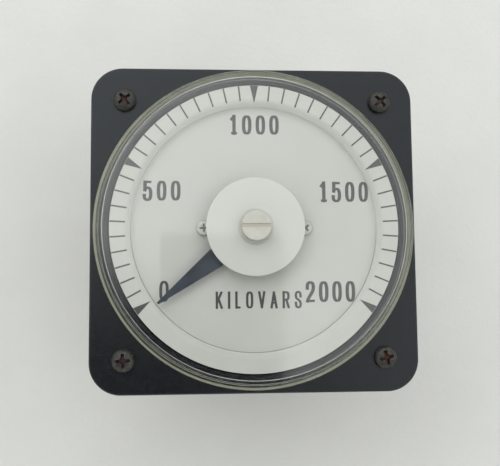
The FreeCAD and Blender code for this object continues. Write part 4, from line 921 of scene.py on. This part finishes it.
def smoothLine(*marks, count=40):
    # a uniform cubic B-spline guided by the marks; a mirrored mark past each end makes it end there
    marks = np.asarray(marks, float)
    marks = np.vstack([marks[0] * 2 - marks[1], marks, marks[-1] * 2 - marks[-2]])
    t = np.linspace(0, len(marks) - 3 - 1e-9, count)
    n = t.astype(int)
    u = (t - n)[:, None]
    weights = ((1 - u) ** 3, 3 * u**3 - 6 * u**2 + 4, -3 * u**3 + 3 * u**2 + 3 * u + 1, u**3)
    return sum(weight * marks[n + k] for k, weight in enumerate(weights)) / 6


def ovalLine(power, count=56):
    # a squared-off oval in the unit square: cosine and sine, each to the power 2 / power
    angle = np.linspace(0, 2 * np.pi, count, endpoint=False)
    sides = [0.5 + 0.5 * np.sign(f) * abs(f) ** (2 / power) for f in (np.cos(angle), np.sin(angle))]
    return np.stack(sides, -1)


# characters in the unit square: ovals by their power, and the rest as open strokes
ovals = {"0": 2.7, "O": 3.2}
strokes = {
    "1": [[(0.58, 0), (0.58, 1)], [(0.5, 0.97), (0.12, 0.84)], [(0.2, 0), (0.95, 0)]],
    "2": [
        smoothLine((0.02, 0.70), (0.02, 0.86), (0.2, 1.02), (0.8, 1.02), (1.02, 0.86), (1.0, 0.62),
                   (0.62, 0.36), (0.2, 0.16), (0.04, 0.0)),
        [(0.1, 0), (1, 0)],
    ],
    "5": [
        [(0.14, 1), (0.92, 1)],
        [(0.12, 0.98), (0.10, 0.56)],
        smoothLine((0.10, 0.55), (0.22, 0.66), (0.75, 0.68), (1.02, 0.52), (1.02, 0.14),
                   (0.80, -0.03), (0.22, -0.03), (0.0, 0.10), (0.0, 0.22)),
    ],
    "K": [[(0, 0), (0, 1)], [(0.92, 1), (0.1, 0.40)], [(0.34, 0.58), (0.98, 0)]],
    "I": [[(0.5, 0), (0.5, 1)]],
    "L": [[(0, 1), (0, 0), (0.9, 0)]],
    "V": [[(0, 1), (0.5, 0.02)], [(0.5, 0.02), (1, 1)]],
    "A": [[(0, 0), (0.5, 0.98)], [(0.5, 0.98), (1, 0)], [(0.25, 0.30), (0.75, 0.30)]],
    "R": [
        [(0, 0), (0, 1)],
        smoothLine((0.0, 1.0), (0.3, 1.0), (0.75, 1.01), (1.0, 0.92), (1.0, 0.58), (0.75, 0.49),
                   (0.3, 0.5), (0.0, 0.5)),
        [(0.55, 0.5), (1, 0)],
    ],
    "S": [
        smoothLine((0.98, 0.72), (0.98, 0.88), (0.80, 1.03), (0.22, 1.03), (0.0, 0.88), (0.0, 0.66),
                   (0.3, 0.53), (0.7, 0.46), (1.0, 0.32), (1.0, 0.10), (0.78, -0.03), (0.2, -0.03),
                   (0.02, 0.12), (0.02, 0.28)),
    ],
}
narrow = {"1": 0.86, "I": 0.33, "L": 0.80}  # share of the common width that a thin character takes
# printed thickness, how far a shape sinks below it, and each stroke's rise over the one before
ink = {"thick": 0.03, "dialSink": 0.02, "ringSink": 0.03, "lap": 0.006, "dialTop": 11.6}
ring = {"inner": 40.9, "top": 15.1, "round": 2.2}


def letterShapes(text, left, right, foot, height, width, upright, level):
    # the same gap between all characters from left to right; strokes thin out where they run level
    boxes = [width * narrow.get(character, 1.0) for character in text]
    gap = (right - left - sum(boxes)) / max(len(text) - 1, 1)
    low, high = ink["dialTop"] - ink["dialSink"], ink["dialTop"] + ink["thick"]
    shapes = []
    for place, (character, box) in enumerate(zip(text, boxes)):
        start = left + sum(boxes[:place]) + place * gap
        closed = character in ovals
        lines = [ovalLine(ovals[character])] if closed else strokes[character]
        for order, line in enumerate(lines):
            line = np.asarray(line, float)
            x = start + upright / 2 + line[:, 0] * (box - upright)
            y = foot + level / 2 + line[:, 1] * (height - level)
            flat = np.stack([x, y], -1)
            step = np.gradient(flat, axis=0)
            if closed:
                step = np.roll(flat, -1, 0) - np.roll(flat, 1, 0)
            steep = abs(step[:, 1]) / np.linalg.norm(step, axis=1)
            widths = level + (upright - level) * steep
            shapes.append(strokeShape(flat, widths, low, high + order * ink["lap"], closed))
    return shapes


# text: left, right and foot in mm, then height, width and the two stroke weights, upright and level
figures = {
    "0": (-31.35, -28.25, -24.0, 6.8, 3.1, 0.95, 0.75),
    "500": (-36.85, -24.4, 9.25, 6.6, 3.2, 1.12, 0.78),
    "1000": (-8.05, 8.5, 31.6, 6.5, 3.2, 1.12, 0.78),
    "1500": (21.85, 38.3, 8.85, 6.7, 3.2, 1.12, 0.78),
    "2000": (16.65, 33.2, -24.5, 6.8, 3.2, 1.12, 0.78),
}
unitName = {"KILOVARS": (-13.0, 15.4, -26.4, 5.5, 2.4, 0.80, 0.64)}


def makeLettering(name, texts):
    shapes = []
    for text, sizes in texts.items():
        shapes += letterShapes(text, *sizes)
    buildPiece(name, shapes, "case", "scale_ink")


makeLettering("scaleFigures", figures)
makeLettering("unitLettering", unitName)

scaleMarks = {  # angles in degrees, radii and widths in mm; every major one is a wedge
    "start": 215.0, "step": 6.25, "count": 40, "major": 10, "outer": 47.3, "inner": 42.3,
    "fine": 0.5, "point": 41.7, "tip": 0.12, "broad": 2.7, "rows": 24, "crowd": 1.6,
}


def makeScaleMarks(s):
    # strokes along the radius that follow the ring's rounded inner edge, where their rows crowd;
    # a wedge points inwards
    shapes = []
    share = np.linspace(0, 1, s["rows"]) ** s["crowd"]
    for n in range(s["count"] + 1):
        major = n % s["major"] == 0
        first = s["point"] if major else s["inner"]
        reach = first + (s["outer"] - first) * share
        wedge = s["tip"] + (s["broad"] - s["tip"]) * share
        widths = wedge if major else np.full(s["rows"], s["fine"])
        drop = np.clip(ring["inner"] + ring["round"] - reach, 0, None)
        height = ring["top"] - ring["round"] + np.sqrt(ring["round"] ** 2 - drop**2)
        angle = np.radians(s["start"] - n * s["step"])
        line = reach[:, None] * np.array([np.cos(angle), np.sin(angle)])
        low, high = height - ink["ringSink"], height + ink["thick"]
        shapes.append(strokeShape(line, widths, low, high, square=False))
    buildPiece("scaleMarks", shapes, "case", "scale_ink")


makeScaleMarks(scaleMarks)
print("printing made")


# studio: floor, lit ceiling panel with a shaded patch, soft room light, camera
floorSizes = {
    "half": 1.6, "shades": ((0.742, 0.745, 0.722), (0.768, 0.771, 0.748)), "rough": (0.7, 0.85),
    "fine": 500.0, "broad": 28.0, "bump": 0.0002,
}
ceiling = {  # metres; a pair is where a soft edge starts and where it ends
    "height": 0.80, "left": -0.85, "right": 0.85, "near": -0.60, "far": 1.05, "strength": 1.5,
    "shade": (0.985, 1.0, 0.985),
    # a dim patch: its left, right and upper edges, and the share of the light left in it
    "patchLeft": (-0.116, -0.104), "patchRight": (0.133, 0.083), "patchTop": (0.092, 0.052),
    "patchLevel": 0.18,
    # the light falls off to the right, and the near half is dark except at its right and its end
    "fall": (-0.15, 0.30), "fallLevel": 0.66, "body": (-0.11, 0.09), "side": (0.05, 0.15),
    "sideLevel": 0.95, "behind": (-0.38, -0.46), "behindLevel": 0.65,
    # brighter past these distances, outwards and at the far end
    "beyondX": (0.36, 0.46), "beyondY": (0.46, 0.56), "beyond": 1.6,
}
room = {"light": (0.98, 0.985, 0.965), "strength": 0.78}
cameraSizes = {  # place in mm, turn in degrees
    "place": (-20.1, -28.1, 274.8), "turn": (5.79, -3.99, -0.55), "focal": 57.6, "sensor": 36.0,
    "clip": 0.01,
}


def flatSheet(name, left, right, near, far, height, material, upwards):
    # one rectangle that looks up or down
    corners = [(x, y, height) for x, y in ((left, near), (right, near), (right, far), (left, far))]
    mesh = bpy.data.meshes.new(name)
    mesh.from_pydata(corners, [], [(0, 1, 2, 3) if upwards else (3, 2, 1, 0)])
    mesh.materials.append(material)
    sheet = bpy.data.objects.new(name, mesh)
    bpy.context.scene.collection.objects.link(sheet)
    return sheet


def makeFloor(f):
    material, tree, shader, place = newMaterial("paleFloor")
    mottle, height = grainOf(tree, place, f)
    dressSurface(tree, shader, f, mixColor(tree, mottle, *f["shades"]), height, height)
    half = f["half"]
    floor = flatSheet("floor", -half, half, -half, half, cadBox[0][2], material, True)


def makeCeiling(c):
    # an emitting sheet; a dim patch and a dim near side stand for whoever stands over the table
    material, tree, shader, place = newMaterial("ceilingGlow")
    tree.nodes.remove(shader)
    axes = axesOf(tree, place)
    x, y = axes["X"], axes["Y"]
    edges = ((x, "patchLeft"), (x, "patchRight"), (y, "patchTop"))
    inside = allOf(tree, *[rangeNode(tree, axis, *c[edge]) for axis, edge in edges])
    patch = rangeNode(tree, inside, 0.0, 1.0, 1.0, c["patchLevel"])
    fall = rangeNode(tree, x, *c["fall"], 1.0, c["fallLevel"])
    near = rangeNode(tree, y, *c["body"])
    side = rangeNode(tree, x, *c["side"], 0.0, c["sideLevel"])
    behind = rangeNode(tree, y, *c["behind"], 0.0, c["behindLevel"])
    near = mathNode(tree, "MAXIMUM", near, mathNode(tree, "MAXIMUM", side, behind))
    outwards = rangeNode(tree, mathNode(tree, "ABSOLUTE", x), *c["beyondX"])
    beyond = mathNode(tree, "MAXIMUM", outwards, rangeNode(tree, y, *c["beyondY"]))
    beyond = rangeNode(tree, beyond, 0.0, 1.0, 1.0, c["beyond"])
    glow = addNode(tree, "ShaderNodeEmission", in_Color=(*c["shade"], 1.0))
    strength = mathNode(tree, "MULTIPLY", allOf(tree, patch, fall, beyond, near), c["strength"])
    tree.links.new(strength, glow.inputs["Strength"])
    tree.links.new(glow.outputs[0], tree.nodes["Material Output"].inputs["Surface"])
    sides = (c["left"], c["right"], c["near"], c["far"], c["height"])
    panel = flatSheet("ceilingPanel", *sides, material, False)
    panel.visible_camera = False


def makeRoom(r):
    world = bpy.data.worlds.new("room")
    bpy.context.scene.world = world
    world.use_nodes = True
    sky = world.node_tree.nodes["Background"]
    sky.inputs["Color"].default_value = (*r["light"], 1.0)
    sky.inputs["Strength"].default_value = r["strength"]


def makeCamera(c):
    data = bpy.data.cameras.new("camera")
    data.lens = c["focal"]
    data.sensor_width = c["sensor"]
    data.clip_start = c["clip"]
    camera = bpy.data.objects.new("camera", data)
    bpy.context.scene.collection.objects.link(camera)
    camera.location = [value * mm for value in c["place"]]
    camera.rotation_euler = np.radians(c["turn"])
    bpy.context.scene.camera = camera


makeFloor(floorSizes)
makeCeiling(ceiling)
makeRoom(room)
makeCamera(cameraSizes)
bpy.context.scene.view_settings.view_transform = "Standard"
print("studio made")
